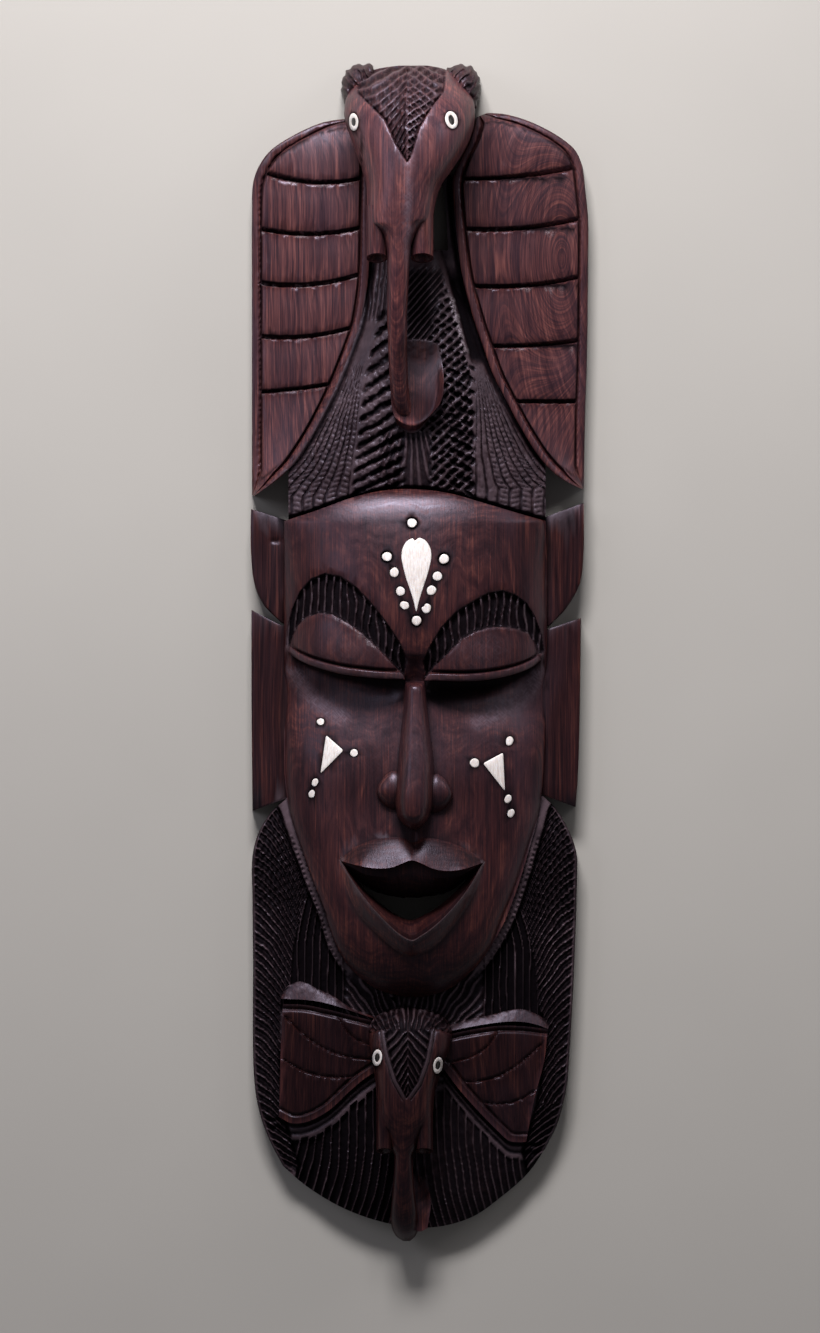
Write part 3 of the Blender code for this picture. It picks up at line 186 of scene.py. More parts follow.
EAR_R_IN = [(477, 117), (470, 140), (460, 160), (453, 178), (454, 208), (458, 247), (463, 279), (475, 323),
            (484, 349), (492, 372), (507, 402), (521, 428), (538, 455), (553, 472), (567, 482), (582, 489)]
EAR_R_ROWS = [((487, 113), (477, 117), 0), ((583, 167), (455, 180), 4.5), ((588, 217), (456, 230), 6),
              ((588, 277), (465, 287), 5.5), ((587, 339), (484, 347), 2.5), ((585.5, 401), (508, 402), 1),
              ((584, 488), (582, 489), 0)]
FACE_TOP = [(284, 521), (315, 511), (351, 498), (380, 491), (412, 489), (448, 493), (484, 503), (521, 514), (546, 521)]
FACE_LEFT = [(284, 521), (284, 600), (284, 700), (285, 780), (290, 812), (303, 852), (314, 883), (326, 913)]
FACE_RIGHT = [(546, 521), (547, 600), (546, 700), (543, 780), (538, 816), (528, 853), (517, 889), (505, 921)]
FACE_BOTTOM = [(326, 913), (336, 945), (352, 970), (377, 989), (412, 997), (447, 990), (472, 971), (490, 948),
               (505, 921)]
BOARD_TOP = [(287, 798), (350, 797), (412, 797), (480, 796), (543, 796)]
BOARD_LEFT = [(287, 798), (269, 815), (258, 834), (252.5, 856), (252.5, 900), (253, 960), (254, 1076), (259, 1110),
              (269, 1139), (283, 1166)]
BOARD_RIGHT = [(543, 796), (556, 809), (569, 831), (576.5, 853), (577, 875), (574.5, 960), (570, 1045), (566, 1091),
               (557, 1125), (545, 1149)]
BOARD_BOTTOM = [(283, 1166), (305, 1185), (339, 1206), (375, 1220), (405, 1226), (436, 1227), (472, 1217),
                (501, 1197), (528, 1173), (545, 1149)]


def face_outline(n=40):
    return np.vstack([along(FACE_TOP, fractions(n))[:-1], along(FACE_RIGHT, fractions(n))[:-1],
                      along(FACE_BOTTOM, fractions(n))[::-1][:-1], along(FACE_LEFT, fractions(n))[::-1][:-1]])


# ---------------------------------------------------------------- heights, in millimetres
FACE_MIDLINE = [(489, 57), (497, 63), (512, 68.5), (540, 74), (575, 78), (615, 79.5), (645, 78), (668, 74),
                (700, 68), (740, 66), (790, 67), (835, 69.5), (870, 71), (915, 72), (945, 70.5), (967, 66),
                (982, 59), (992, 51), (997, 44)]
FACE_RIM = [(489, 52), (521, 40), (560, 33), (620, 29), (700, 28), (780, 30), (840, 35), (900, 41), (950, 45),
            (997, 42)]
FACE_AXIS = [(489, 412), (620, 415), (720, 415.5), (830, 414), (997, 412)]
FACE_HALF = [(489, 60), (497, 82), (505, 103), (514, 120), (524, 131), (560, 131.5), (700, 131), (780, 129),
             (812, 124), (852, 112.5), (889, 100.5), (921, 88), (948, 77), (971, 60), (989, 36), (997, 16)]


def face_blank(x, y):
    """the face as one smooth swelling, before the eyes are cut in"""
    half, mid = prof(FACE_HALF, y), prof(FACE_AXIS, y)
    s = np.clip(np.abs(x - mid) / half, 0, 1)
    rim, crown = prof(FACE_RIM, y), prof(FACE_MIDLINE, y)
    return rim + (crown - rim) * (1 - s ** 2.3) ** 0.72


def face_height(x, y):
    z = face_blank(x, y)
    for cx, cy, side in ((343, 693, -1), (492, 691, 1)):
        # hollow under the lid: deep just under it, running out down the cheek
        dx = (x - cx) / np.where((x - cx) * side > 0, 74.0, 66.0)
        dy = (y - cy)
        up = np.exp(-(np.minimum(dy, 0) / 26.0) ** 2)
        down = np.exp(-(np.maximum(dy, 0) / 42.0) ** 2)
        z = z - 15.0 * np.exp(-(dx ** 2) ** 1.3) * up * down
    # dips either side of the mouth and the nose
    for cx, cy in ((368, 815), (460, 816)):
        z = z - 2.5 * np.exp(-((x - cx) / 26) ** 2 - ((y - cy) / 34) ** 2)
    return z


MOUND_AXIS = [(180, 428), (263, 428), (330, 424), (400, 418), (490, 412), (540, 412)]
MOUND_HALF_R = [(180, 12), (240, 12), (263, 17), (285, 27), (324, 52), (357, 66), (400, 92), (440, 112), (480, 130),
                (540, 140)]
MOUND_HALF_L = [(180, 30), (240, 40), (285, 62), (324, 72), (357, 84), (400, 104), (440, 122), (480, 134), (540, 140)]
MOUND_CROWN = [(180, 20), (236, 22), (256, 34), (275, 44), (310, 51), (350, 54), (400, 53), (440, 50), (470, 47),
               (495, 44), (540, 44)]


def mound_height(x, y):
    mid = prof(MOUND_AXIS, y)
    half = np.where(x > mid, prof(MOUND_HALF_R, y), prof(MOUND_HALF_L, y))
    s = np.abs(x - mid) / half
    crown = prof(MOUND_CROWN, y)
    low = 21.0 + 5.0 * smooth(330, 520, y)
    bulge = np.clip(1 - np.clip(s, 0, 1) ** 2.2, 0, 1) ** 0.75
    return low + np.maximum(crown - low, 0) * bulge


def board_height(x, y):
    half = prof([(796, 135), (856, 162), (1076, 158), (1110, 150), (1150, 130), (1190, 100), (1227, 60)], y)
    s = np.clip(np.abs(x - 413.5) / half, 0, 1)
    crown = prof([(796, 34), (900, 36), (1010, 33), (1100, 31), (1190, 27), (1227, 20)], y)
    rim = prof([(796, 21), (1100, 19), (1227, 14)], y)
    return rim + (crown - rim) * (1 - s ** 2.6) ** 0.8


# ---------------------------------------------------------------- heads and trunks: sections across the carving
# y: left, right, top, level of greatest width, underside, roundness over, roundness under
BIG_HEAD = {
    "left": [(65.5, 399), (68, 381), (73, 366), (80, 357.5), (90, 350), (102, 345.2), (114, 344), (124, 346), (137, 350),
             (153, 356), (170, 362), (188, 366.5), (204, 367.5), (218, 371), (232, 379), (246, 385.5), (258, 387.5),
             (285, 387.5), (312, 387), (340, 388), (366, 389), (392, 390.5), (408, 393), (420, 398.5), (428, 404),
             (432, 409)],
    "right": [(65.5, 428), (68, 441), (73, 452), (80, 460), (90, 468), (102, 474), (114, 475.2), (124, 474.2),
              (137, 470.5), (153, 463), (170, 452), (188, 440), (204, 434.5), (218, 430), (232, 421), (246, 413),
              (258, 409.5), (285, 408.5), (312, 407), (340, 407), (366, 407.5), (392, 409), (408, 412), (420, 416),
              (428, 417), (432, 415)],
    "top": [(65.5, 52), (68, 66), (73, 80), (80, 91), (90, 100), (102, 107), (118, 112.5), (137, 116), (165, 117.5),
            (200, 115), (232, 110), (258, 105.5), (285, 102), (312, 98), (340, 91), (366, 83), (392, 73), (408, 65),
            (420, 55), (428, 45), (432, 38)],
    "wide": [(65.5, 30), (80, 44), (102, 56), (137, 66), (165, 74), (188, 82), (204, 86), (232, 92), (258, 94.5),
             (285, 93), (312, 89), (340, 82), (366, 73.5), (392, 62), (408, 53), (420, 44), (432, 34)],
    "under": [(65.5, -4.0), (172, -4.0), (184, 10), (192, 40), (204, 58), (218, 67), (232, 74), (246, 80), (258, 83),
              (285, 83), (312, 79.5), (340, 72), (366, 62.5), (392, 48), (408, 30), (420, 24), (432, 24)],
}
SMALL_HEAD = {
    "left": [(1007, 400), (1010, 388), (1015, 378), (1022, 371.5), (1032, 368.3), (1044, 369), (1058, 371.5),
             (1074, 374.5), (1096, 376.5), (1118, 378), (1132, 383), (1144, 391), (1154, 394.5), (1180, 393.5),
             (1204, 391.5), (1218, 390.5), (1228, 392), (1236, 396), (1241, 403)],
    "right": [(1007, 416), (1010, 430), (1015, 441), (1022, 448), (1032, 452), (1044, 450.5), (1058, 446),
              (1074, 440.5), (1096, 434.5), (1118, 430.5), (1132, 425), (1144, 416), (1154, 412.5), (1180, 413.5),
              (1204, 416), (1218, 418), (1228, 418.5), (1236, 415.5), (1241, 410)],
    "top": [(1007, 42), (1010, 50), (1015, 58), (1022, 64), (1036, 70), (1058, 74), (1085, 75.5), (1110, 74),
            (1132, 69), (1154, 63.5), (1180, 58), (1204, 51), (1218, 45), (1228, 39), (1236, 32), (1241, 24)],
    "wide": [(1007, 32), (1022, 40), (1058, 48), (1085, 52), (1110, 55), (1132, 56), (1154, 54), (1180, 49),
             (1204, 41), (1218, 33), (1228, 27), (1241, 18)],
    "under": [(1007, -4.6), (1108, -4.6), (1118, 20), (1126, 38), (1138, 43), (1154, 44.5), (1180, 40.5), (1200, 32),
              (1210, 22), (1220, 12), (1230, 9), (1241, 12)],
}


def head_section(head, y):
    return [prof(head[k], y) for k in ("left", "right", "top", "wide", "under")]


def head_ring(head, y, n):
    """n points round the section at y, starting at the left side and going over the top"""
    left, right, top, wide, under = head_section(head, y)
    a = np.linspace(0, 2 * np.pi, n, endpoint=False)
    cx, hw = (left + right) / 2, (right - left) / 2
    c, s = -np.cos(a), np.sin(a)
    over = s >= 0
    e = np.where(over, 0.92, 0.85)
    x = cx + hw * np.sign(c) * np.abs(c) ** e
    z = wide + np.where(over, top - wide, wide - under) * np.sign(s) * np.abs(s) ** e
    return np.stack([x, np.full(n, float(y)), z], axis=-1)


def head_height(head, x, y):
    """height of the head's upper surface over a drawn point"""
    left, right, top, wide, under = head_section(head, y)
    s = np.clip(np.abs(x - (left + right) / 2) / ((right - left) / 2), 0, 1)
    return wide + (top - wide) * (1 - s ** (2 / 0.92)) ** (0.92 / 2)


# ---------------------------------------------------------------- ears
def groove(t, wide_up, wide_down, deep, lip):
    """a cut across the grain: t is the distance past its bottom, with a raised edge on the far side"""
    t = np.asarray(t, float)
    up = -deep * np.clip(1 + t / wide_up, 0, 1) * (t < 0)
    down = np.where((t >= 0) & (t < wide_down), -deep + (deep + lip) * t / wide_down, 0)
    tail = np.where(t >= wide_down, lip * np.exp(-(t - wide_down) / 5.0), 0)
    return up + down + tail


def ear_grid(outer, inner, rows, z_out, z_in, out_offsets, in_offsets, row_offsets, step_u, step_v, relief):
    """grid over an ear; relief(cross, d_out, d_in, band) adds the carving"""
    f_out = np.array([fraction(outer, r[0]) for r in rows])
    f_in = np.array([fraction(inner, r[1]) for r in rows])
    sag = np.array([r[2] for r in rows], float)
    lo, li = length(outer), length(inner)
    v = np.concatenate([[0], np.cumsum((np.diff(f_out) * lo + np.diff(f_in) * li) / 2)])
    marks = [0.0, v[-1]]
    for i in range(1, len(rows) - 1):
        marks += [v[i] + o for o in row_offsets]
    marks = np.unique(np.round(marks, 3))
    vs = [marks[0]]
    for a, b in zip(marks[:-1], marks[1:]):
        n = max(1, int(np.ceil((b - a) / step_v - 1e-6)))
        vs += list(a + (b - a) * np.arange(1, n + 1) / n)
    vs = np.array(vs)
    a, b = along(outer, np.interp(vs, v, f_out)), along(inner, np.interp(vs, v, f_in))
    w = np.linalg.norm(b - a, axis=1)
    n_mid = max(2, int(round((w.max() - out_offsets[-1] - in_offsets[-1]) / step_u)))
    grid = np.zeros((len(vs), len(out_offsets) + len(in_offsets) + n_mid - 1, 3))
    for i, vv in enumerate(vs):
        k = min(1.0, w[i] / (1.35 * (out_offsets[-1] + in_offsets[-1])))
        p, q = np.array(out_offsets) * k, w[i] - np.array(in_offsets[::-1]) * k
        c = np.concatenate([p, np.linspace(p[-1], q[0], n_mid + 1)[1:-1], q])
        u = c / w[i]
        xy = a[i] + (b[i] - a[i]) * u[:, None]
        xy[:, 1] += np.interp(vv, v, sag) * 4 * u * (1 - u)
        j = np.clip(np.searchsorted(v, vv, side="right") - 1, 0, len(v) - 2)
        frac = (vv - v[j]) / (v[j + 1] - v[j])
        near = 1 + np.argmin(np.abs(v[1:-1] - vv))
        z = z_out + (z_in - z_out) * smooth(-0.15, 1.15, u) ** 0.9
        z = z + relief(vv - v[near], c / k, (w[i] - c) / k, frac, xy, k)
        grid[i] = np.column_stack([xy, z])
    return grid


def ear_relief(cross, d_out, d_in, frac, xy, k, deep=2.6):
    """rim, rim groove, swelling between the cross cuts, and the cross cuts"""
    panel = smooth(9.5, 13.0, d_in) * smooth(9.0, 11.0, d_out)
    z = 1.3 * np.sin(np.pi * np.clip(frac, 0, 1)) ** 0.6 * panel
    z = z + groove(cross, 4.0, 1.4, deep, 0.9) * panel
    z = z - deep * np.exp(-((d_in - 10.0) / 1.7) ** 2) - 0.75 * deep * np.exp(-((d_out - 9.3) / 1.3) ** 2)
    return z * min(1.0, k * 1.3)


# ---------------------------------------------------------------- closed meshes from grids
def slab(grid, floor):
    """closed solid between a grid and a flat floor"""
    nv, nu = grid.shape[:2]
    verts = list(grid.reshape(-1, 3))
    faces = [(i * nu + j, (i + 1) * nu + j, (i + 1) * nu + j + 1, i * nu + j + 1)
             for i in range(nv - 1) for j in range(nu - 1)]
    loop = ([j for j in range(nu)] + [i * nu + nu - 1 for i in range(1, nv)]
            + [(nv - 1) * nu + j for j in range(nu - 2, -1, -1)] + [i * nu for i in range(nv - 2, 0, -1)])
    base = len(verts)
    for k in loop:
        p = verts[k].copy()
        p[2] = floor
        verts.append(p)
    m = len(loop)
    for k in range(m):
        n = (k + 1) % m
        faces.append((loop[k], loop[n], base + n, base + k))
    faces.append(tuple(base + k for k in range(m)))
    return np.array(verts), faces


def tube(rings, first_cap=True):
    """closed solid through rings of equal counts, each end closed by a fan"""
    rings = np.asarray(rings)
    nr, n = rings.shape[:2]
    verts = list(rings.reshape(-1, 3)) + [rings[0].mean(axis=0), rings[-1].mean(axis=0)]
    faces = [(i * n + j, i * n + (j + 1) % n, (i + 1) * n + (j + 1) % n, (i + 1) * n + j)
             for i in range(nr - 1) for j in range(n)]
    faces += [(nr * n, (j + 1) % n, j) for j in range(n)]
    faces += [(nr * n + 1, (nr - 1) * n + j, (nr - 1) * n + (j + 1) % n) for j in range(n)]
    return np.array(verts), faces


def solid(name, verts, faces, collection):
    """mesh object from drawing units, its faces turned outwards"""
    me = bpy.data.meshes.new(name)
    me.from_pydata([tuple(v) for v in to_world(verts)], [], faces)
    bm = bmesh.new()
    bm.from_mesh(me)
    bmesh.ops.recalc_face_normals(bm, faces=bm.faces[:])
    bm.to_mesh(me)
    bm.free()
    ob = bpy.data.objects.new(name, me)
    collection.objects.link(ob)
    return ob


# ---------------------------------------------------------------- the pieces of the relief, at any fineness
def tab_sides():
    """four side tabs: top, right, bottom and left curves"""
    return {
        "tab_upper_left": ([(251, 509), (270, 515), (302, 526)], [(302, 526), (302, 622)],
                           [(282, 623.5), (302, 622)], [(251, 509), (250.6, 530), (251, 553), (254.5, 584), (263, 604), (282, 623.5)]),
        "tab_lower_left": ([(251.5, 610), (281, 625), (302, 631)], [(302, 631), (303, 793)],
                           [(252.5, 811), (287, 798), (303, 793)], [(251.5, 610), (251.5, 700), (252.5, 811)]),
        "tab_upper_right": ([(530, 522), (545, 517), (583.5, 503)], [(583.5, 503), (584, 530), (583.5, 553), (579.5, 584),
                            (568, 606), (549, 626.5)], [(530, 625), (549, 626.5)], [(530, 522), (530, 625)]),
        "tab_lower_right": ([(530, 634), (547, 629.5), (581, 618)], [(581, 618), (579.5, 722), (578, 773), (575.5, 807)],
                            [(528, 789), (543, 795), (575.5, 807)], [(530, 634), (528, 789)]),
    }


def brow(outer, inner, n_u, n_v, height):
    """crescent between two arcs with common ends"""
    us, vs = fractions(n_u), fractions(n_v)
    a, b = along(outer, us), along(inner, us)
    g = a[None] * (1 - vs[:, None, None]) + b[None] * vs[:, None, None]
    return np.concatenate([g, height(g[..., 0], g[..., 1], us[None, :], vs[:, None])[..., None]], axis=-1)


BROW_L_OUT = [(286, 646), (287.5, 626), (292, 608), (300, 590.5), (311, 578.5), (325, 573), (341, 576), (357, 587),
              (372, 603), (387, 622), (400, 642), (408, 660)]
BROW_L_IN = [(290, 647), (293, 636), (299, 625), (308, 617), (320, 613.5), (333, 615.5), (348, 624), (361, 633.5),
             (374, 645), (385, 656), (395, 667), (404, 676)]
BROW_R_OUT = [(544.5, 652), (542, 635), (535, 616), (527, 603), (515, 594), (502, 590), (488, 592.5), (474, 600),
              (456, 611), (441, 627), (430, 645), (422.5, 662)]
BROW_R_IN = [(538, 655), (534, 643), (528, 634), (517, 629.5), (504, 627.5), (490, 628), (475, 632.5), (462, 640),
             (450, 652), (441, 661), (433, 669), (426, 677)]
LID_L_LOW = [(288, 652), (297, 659), (308, 664.5), (321, 669), (341, 674), (362, 677), (383, 679), (405, 679.5)]
LID_R_LOW = [(541, 660), (533, 666.5), (520, 672.5), (502, 677.5), (482, 680.5), (462, 681.5), (443, 681),
             (424, 680.5)]

LID_SWELL = 5.0


def lid_height(x, y, u, v):
    """v runs from the brow down to the lid's edge; the last part is the raised rim"""
    z = face_blank(x, y) - 1.5 + LID_SWELL * np.sin(np.pi * np.clip(u, 0, 1)) ** 0.7 * np.sin(np.pi * np.clip(v, 0, 1) * 0.62)
    rim = smooth(0.80, 0.84, v)
    return z - 1.6 * np.exp(-((v - 0.80) / 0.02) ** 2) + 0.8 * rim


NOSE_L = [(640, 412), (656, 409.5), (668, 408.5), (690, 406.5), (726, 402), (772, 398), (800, 395.5), (814, 397),
          (822, 401), (827, 406.5), (830, 412)]
NOSE_R = [(640, 417), (656, 419.5), (668, 421.5), (690, 424), (726, 429), (772, 433.5), (800, 432.5), (814, 430),
          (822, 426.5), (827, 421.5), (830, 416)]
NOSE_TOP = [(640, 77), (668, 79), (690, 82), (726, 88), (772, 95), (800, 98), (814, 97), (822, 93), (827, 87), (830, 79)]


def nose_grid(n_u, ys):
    u = np.linspace(-1, 1, n_u)
    ys = np.asarray(ys, float)
    l, r, top = prof(NOSE_L, ys), prof(NOSE_R, ys), prof(NOSE_TOP, ys)
    a = np.sin(u * np.pi / 2)
    x = (l + r)[:, None] / 2 + (r - l)[:, None] / 2 * a[None]
    base = 62.0
    z = base + (top - base)[:, None] * np.clip(1 - np.abs(a[None]) ** 2.6, 0, 1) ** 0.42
    return np.stack([x, np.broadcast_to(ys[:, None], x.shape), z], axis=-1)


MOUTH_EDGE_UP = [(340, 860), (352, 863.5), (365, 866.5), (379, 868), (393, 866.5), (405, 861.5), (412, 859.5), (421, 862.5),
                 (434, 868.5), (450, 870.5), (466, 868), (484, 862)]
LIP_UP_TOP = [(336, 859.5), (347, 851), (360, 844), (376, 838.5), (392, 836.5), (404, 838), (413, 842), (424, 837.5),
              (440, 839), (459, 845), (474, 853), (488, 861.5)]
MOUTH_EDGE_LOW = [(340, 860), (351, 879), (361, 894), (372, 908), (385, 922), (399, 935), (412, 941.5), (421, 937),
                  (436, 926), (453, 909), (470, 887), (484, 862)]
LIP_LOW_OUT = [(336, 861), (344, 886), (355, 911), (367, 925.5), (379, 937), (394, 950), (410, 958), (420, 956),
               (437, 946), (459, 920), (476, 893), (488, 863)]
HOLE_UP = [(357, 880), (372, 890), (386, 896), (400, 899.5), (413, 901), (427, 899), (441, 895), (455, 888), (468, 877)]
HOLE_LOW = [(357, 880), (367, 892), (380, 903), (395, 914), (411, 920), (426, 914), (440, 905), (455, 892), (468, 877)]
LIP_CREST = 13.0        # how far the lips stand out of the face


def lip_crest(x, y):
    return face_blank(x, y) + LIP_CREST * smooth(0, 26, x - 337) * smooth(0, 26, 487 - x)


def upper_lip_grid(n_u, n_v):
    us, vs = fractions(n_u), fractions(n_v)
    a, b = along(LIP_UP_TOP, us), along(MOUTH_EDGE_UP, us) + np.array([0, 1.6])
    g = a[None] * (1 - vs[:, None, None]) + b[None] * vs[:, None, None]
    x, y = g[..., 0], g[..., 1]
    f, c = face_height(x, y) - 0.4, lip_crest(x, y)
    t = vs[:, None]
    z = f + (c - f) * (0.25 * t + 0.75 * t ** 0.7)
    z = z - 1.6 * np.exp(-((x - 413.5) / 4.0) ** 2) * (1 - smooth(0.3, 0.9, t))
    return np.stack([x, y, z], axis=-1)


def lower_lip_grid(n_u, n_v):
    us, vs = fractions(n_u), fractions(n_v)
    a, b = along(MOUTH_EDGE_LOW, us) - np.array([0, 1.8]), along(LIP_LOW_OUT, us)
    g = a[None] * (1 - vs[:, None, None]) + b[None] * vs[:, None, None]
    x, y = g[..., 0], g[..., 1]
    f, c = face_height(x, y) - 0.4, lip_crest(x, y)
    t = vs[:, None]
    z = c + (f - c) * (0.75 * t + 0.25 * t ** 3)
    return np.stack([x, y, z], axis=-1)


def mouth_rings(n):
    """opening of the mouth: its rim, then narrowing to the slot at the bottom of the slopes"""
    us = fractions(n)
    rim = np.vstack([along(MOUTH_EDGE_UP, us), along(MOUTH_EDGE_LOW, us)[::-1][1:-1]])
    slot = np.vstack([along(HOLE_UP, us), along(HOLE_LOW, us)[::-1][1:-1]])
    def ring(t, z):
        p = rim * (1 - t) + slot * t
        return np.column_stack([p, np.full(len(p), z) if np.isscalar(z) else z])
    high = lip_crest(rim[:, 0], rim[:, 1])
    up = rim.copy()
    wide = rim.mean(axis=0) + (rim - rim.mean(axis=0)) * 1.0
    return [np.column_stack([wide, high + 14]), np.column_stack([up, high + 0.4]), ring(0.30, 0.55 * high + 0.45 * 55),
            ring(0.72, 0.2 * high + 0.8 * 54), ring(1.0, 50.0), ring(1.0, -7.0)]


PAD_TOP = [(398, 343), (410, 340), (424, 340), (437, 344)]
PAD_RIGHT = [(437, 344), (442, 362), (443.8, 380), (443, 394), (439, 405), (431, 414)]
PAD_BOTTOM = [(397, 424), (403, 430), (410, 433), (418, 431.5), (425, 424), (431, 414)]
PAD_LEFT = [(398, 343), (394, 365), (391, 388), (392, 408), (397, 424)]


def pad_grid(us, vs):
    g = coons(PAD_TOP, PAD_RIGHT, PAD_BOTTOM, PAD_LEFT, us, vs)
    x, y = g[..., 0], g[..., 1]
    e = np.minimum(us[None, :], 1 - us[None, :]) * 0 + (1 - us[None, :])
    rise = smooth(344, 405, y)
    lip = np.exp(-(e * 44 / 4.0) ** 1.6) * smooth(352, 395, y) + np.exp(-((1 - vs[:, None]) * 80 / 5.0) ** 1.6) * 0.8
    dish = 1 - smooth(0.0, 0.5, e) * 0
    z = 53.0 + 7.5 * rise + 5.5 * np.clip(lip, 0, 1) * (1 - 0.0 * dish) - 2.0 * np.sin(np.pi * np.clip(e, 0, 1)) * rise
    drop = smooth(0, 0.10, 1 - vs[:, None])
    z = z - 10.0 * (1 - drop) * smooth(0.2, 0.8, 1 - e * 0)
    return np.stack([x, y, z], axis=-1)


SMALL_EAR_L = ([(283, 1004), (305, 1005), (330, 1010), (350, 1015), (374, 1021)], [(374, 1021), (376, 1050), (378, 1070)],
               [(279, 1117), (291, 1123), (306, 1122), (328, 1111), (351, 1090), (364, 1079), (378, 1070)],
               [(283, 1004), (281, 1040), (280, 1080), (279, 1117)])
SMALL_EAR_R = ([(446, 1035), (470, 1030), (497, 1026), (520, 1026), (548, 1029)],
               [(548, 1029), (544, 1062), (535, 1096), (526, 1142)],
               [(443, 1068), (458, 1088), (470, 1102), (484, 1117), (498, 1131), (510, 1141), (526, 1142)],
               [(446, 1035), (445, 1052), (443, 1068)])
SMALL_EAR_L_CUTS = [[(286, 1018), (305, 1036), (327, 1050), (348, 1057), (372, 1060)],
                    [(285, 1061), (303, 1071), (327, 1077), (350, 1077), (374, 1073)],
                    [(338, 1012), (346, 1030), (357, 1040), (372, 1046)]]
SMALL_EAR_R_CUTS = [[(448, 1064), (468, 1058), (484, 1050), (493, 1040), (499, 1028)],
                    [(452, 1081), (475, 1082), (497, 1077), (518, 1065), (541, 1045)],
                    [(466, 1098), (484, 1103), (504, 1104), (520, 1100), (534, 1092)]]


def polyline_distance(pts, x, y):
    """signed distance to an open curve: positive below it (larger y)"""
    d = dense(pts, 6)
    best = np.full(x.shape, 1e9)
    side = np.zeros(x.shape)
    for (ax, ay), (bx, by) in zip(d[:-1], d[1:]):
        dx, dy = bx - ax, by - ay
        t = np.clip(((x - ax) * dx + (y - ay) * dy) / max(dx * dx + dy * dy, 1e-9), 0, 1)
        r = (x - ax - t * dx) ** 2 + (y - ay - t * dy) ** 2
        near = r < best
        best = np.where(near, r, best)
        side = np.where(near, np.sign(dx * (y - ay) - dy * (x - ax)), side)
    return np.sqrt(best) * np.where(side == 0, 1, side)


def small_ear_grid(sides, cuts, us, vs, deep):
    g = coons(*[sides[i] for i in (0, 1, 2, 3)], us, vs)
    x, y = g[..., 0], g[..., 1]
    z = board_height(x, y) + 4.0
    low = polyline_distance(sides[2], x, y)          # minus above the lower edge
    high = polyline_distance(sides[0], x, y)
    if deep:
        panel = smooth(8.5, 11, -low) * smooth(5.0, 7.0, high)
        for c in cuts:
            t = polyline_distance(c, x, y)
            z = z + groove(t, 3.4, 1.4, deep, 0.7) * panel
        z = z - deep * np.exp(-((-low - 8.3) / 1.5) ** 2)
        z = z - deep * 1.2 * np.exp(-((high - 4.5) / 2.0) ** 2)
    return np.stack([x, y, z], axis=-1)


TUFT_L = ([(346, 71), (353, 65), (364, 63.5), (374, 64.5)], [(374, 64.5), (376, 84), (372, 104)],
          [(345, 106), (358, 108), (372, 104)], [(346, 71), (342, 79), (341.5, 92), (345, 106)])
TUFT_R = ([(447, 67), (459, 64), (470, 65.5), (477, 71)], [(477, 71), (480, 80), (480.5, 92), (477, 108)],
          [(450, 108), (462, 111), (477, 108)], [(447, 67), (446, 86), (450, 108)])


def tuft_grid(sides, us, vs, seed):
    g = coons(sides[0], sides[1], sides[2], sides[3], us, vs)
    u, v = us[None, :], vs[:, None]
    edge = np.clip(4 * u * (1 - u), 0, 1) ** 0.35 * np.clip(4 * v * (1 - v), 0, 1) ** 0.35
    z = 34 + 34 * edge
    return np.stack([g[..., 0], g[..., 1], z], axis=-1)


def stub_rings(x0, x1, n, mid_z, deep_z, y0, y1, steps, slant):
    """jaw stub: an oval rod running down the carving, cut off aslant and hollowed at its end"""
    a = np.linspace(0, 2 * np.pi, n, endpoint=False)
    cx, hw = (x0 + x1) / 2, (x1 - x0) / 2

    def ring(y, t, scale, slope):
        z = mid_z[0] + (mid_z[1] - mid_z[0]) * t
        return np.stack([cx - hw * scale * np.cos(a), y + slope * (1 - scale * np.sin(a)) / 2,
                         z + deep_z * scale * np.sin(a)], axis=-1)
    rings = [ring(y0 + (y1 - y0) * k / steps, k / steps, 1.0, slant * k / steps) for k in range(steps + 1)]
    return rings + [ring(y1, 1.0, 0.74, slant), ring(y1 - 6, 0.9, 0.55, slant)]


SMALL_PAD = ([(410, 1174), (419, 1174), (427, 1180)], [(427, 1180), (430.8, 1203), (427.5, 1228)],
             [(412, 1229), (420, 1231.5), (427.5, 1228)], [(410, 1174), (410, 1203), (412, 1229)])


# ---------------------------------------------------------------- hollow behind the face
HOLLOW_TOP = [(330, 556), (370, 546), (412, 543), (456, 546), (500, 557)]
HOLLOW_LEFT = [(330, 556), (311, 590), (307, 640), (307, 700), (308, 770), (313, 830), (330, 890)]
HOLLOW_RIGHT = [(500, 557), (519, 590), (523, 640), (523, 700), (521, 770), (516, 830), (500, 890)]
HOLLOW_BOTTOM = [(330, 890), (348, 930), (380, 957), (412, 965), (446, 957), (478, 930), (500, 890)]
WALL = 15.0             # thickness left between the hollow and the face


def hollow_height(x, y, us, vs):
    u, v = us[None, :], vs[:, None]
    edge = (1 - np.abs(2 * u - 1) ** 4) ** 0.5 * (1 - np.abs(2 * v - 1) ** 5) ** 0.5
    return 6.0 + (face_height(x, y) - WALL - 6.0) * edge


# ---------------------------------------------------------------- inlays
def oval(cx, cy, rx, ry, n, turn=0.0):
    a = np.linspace(0, 2 * np.pi, n, endpoint=False)
    dx, dy = rx * np.cos(a), ry * np.sin(a)
    c, s = math.cos(turn), math.sin(turn)
    return np.column_stack([cx + dx * c - dy * s, cy + dx * s + dy * c])


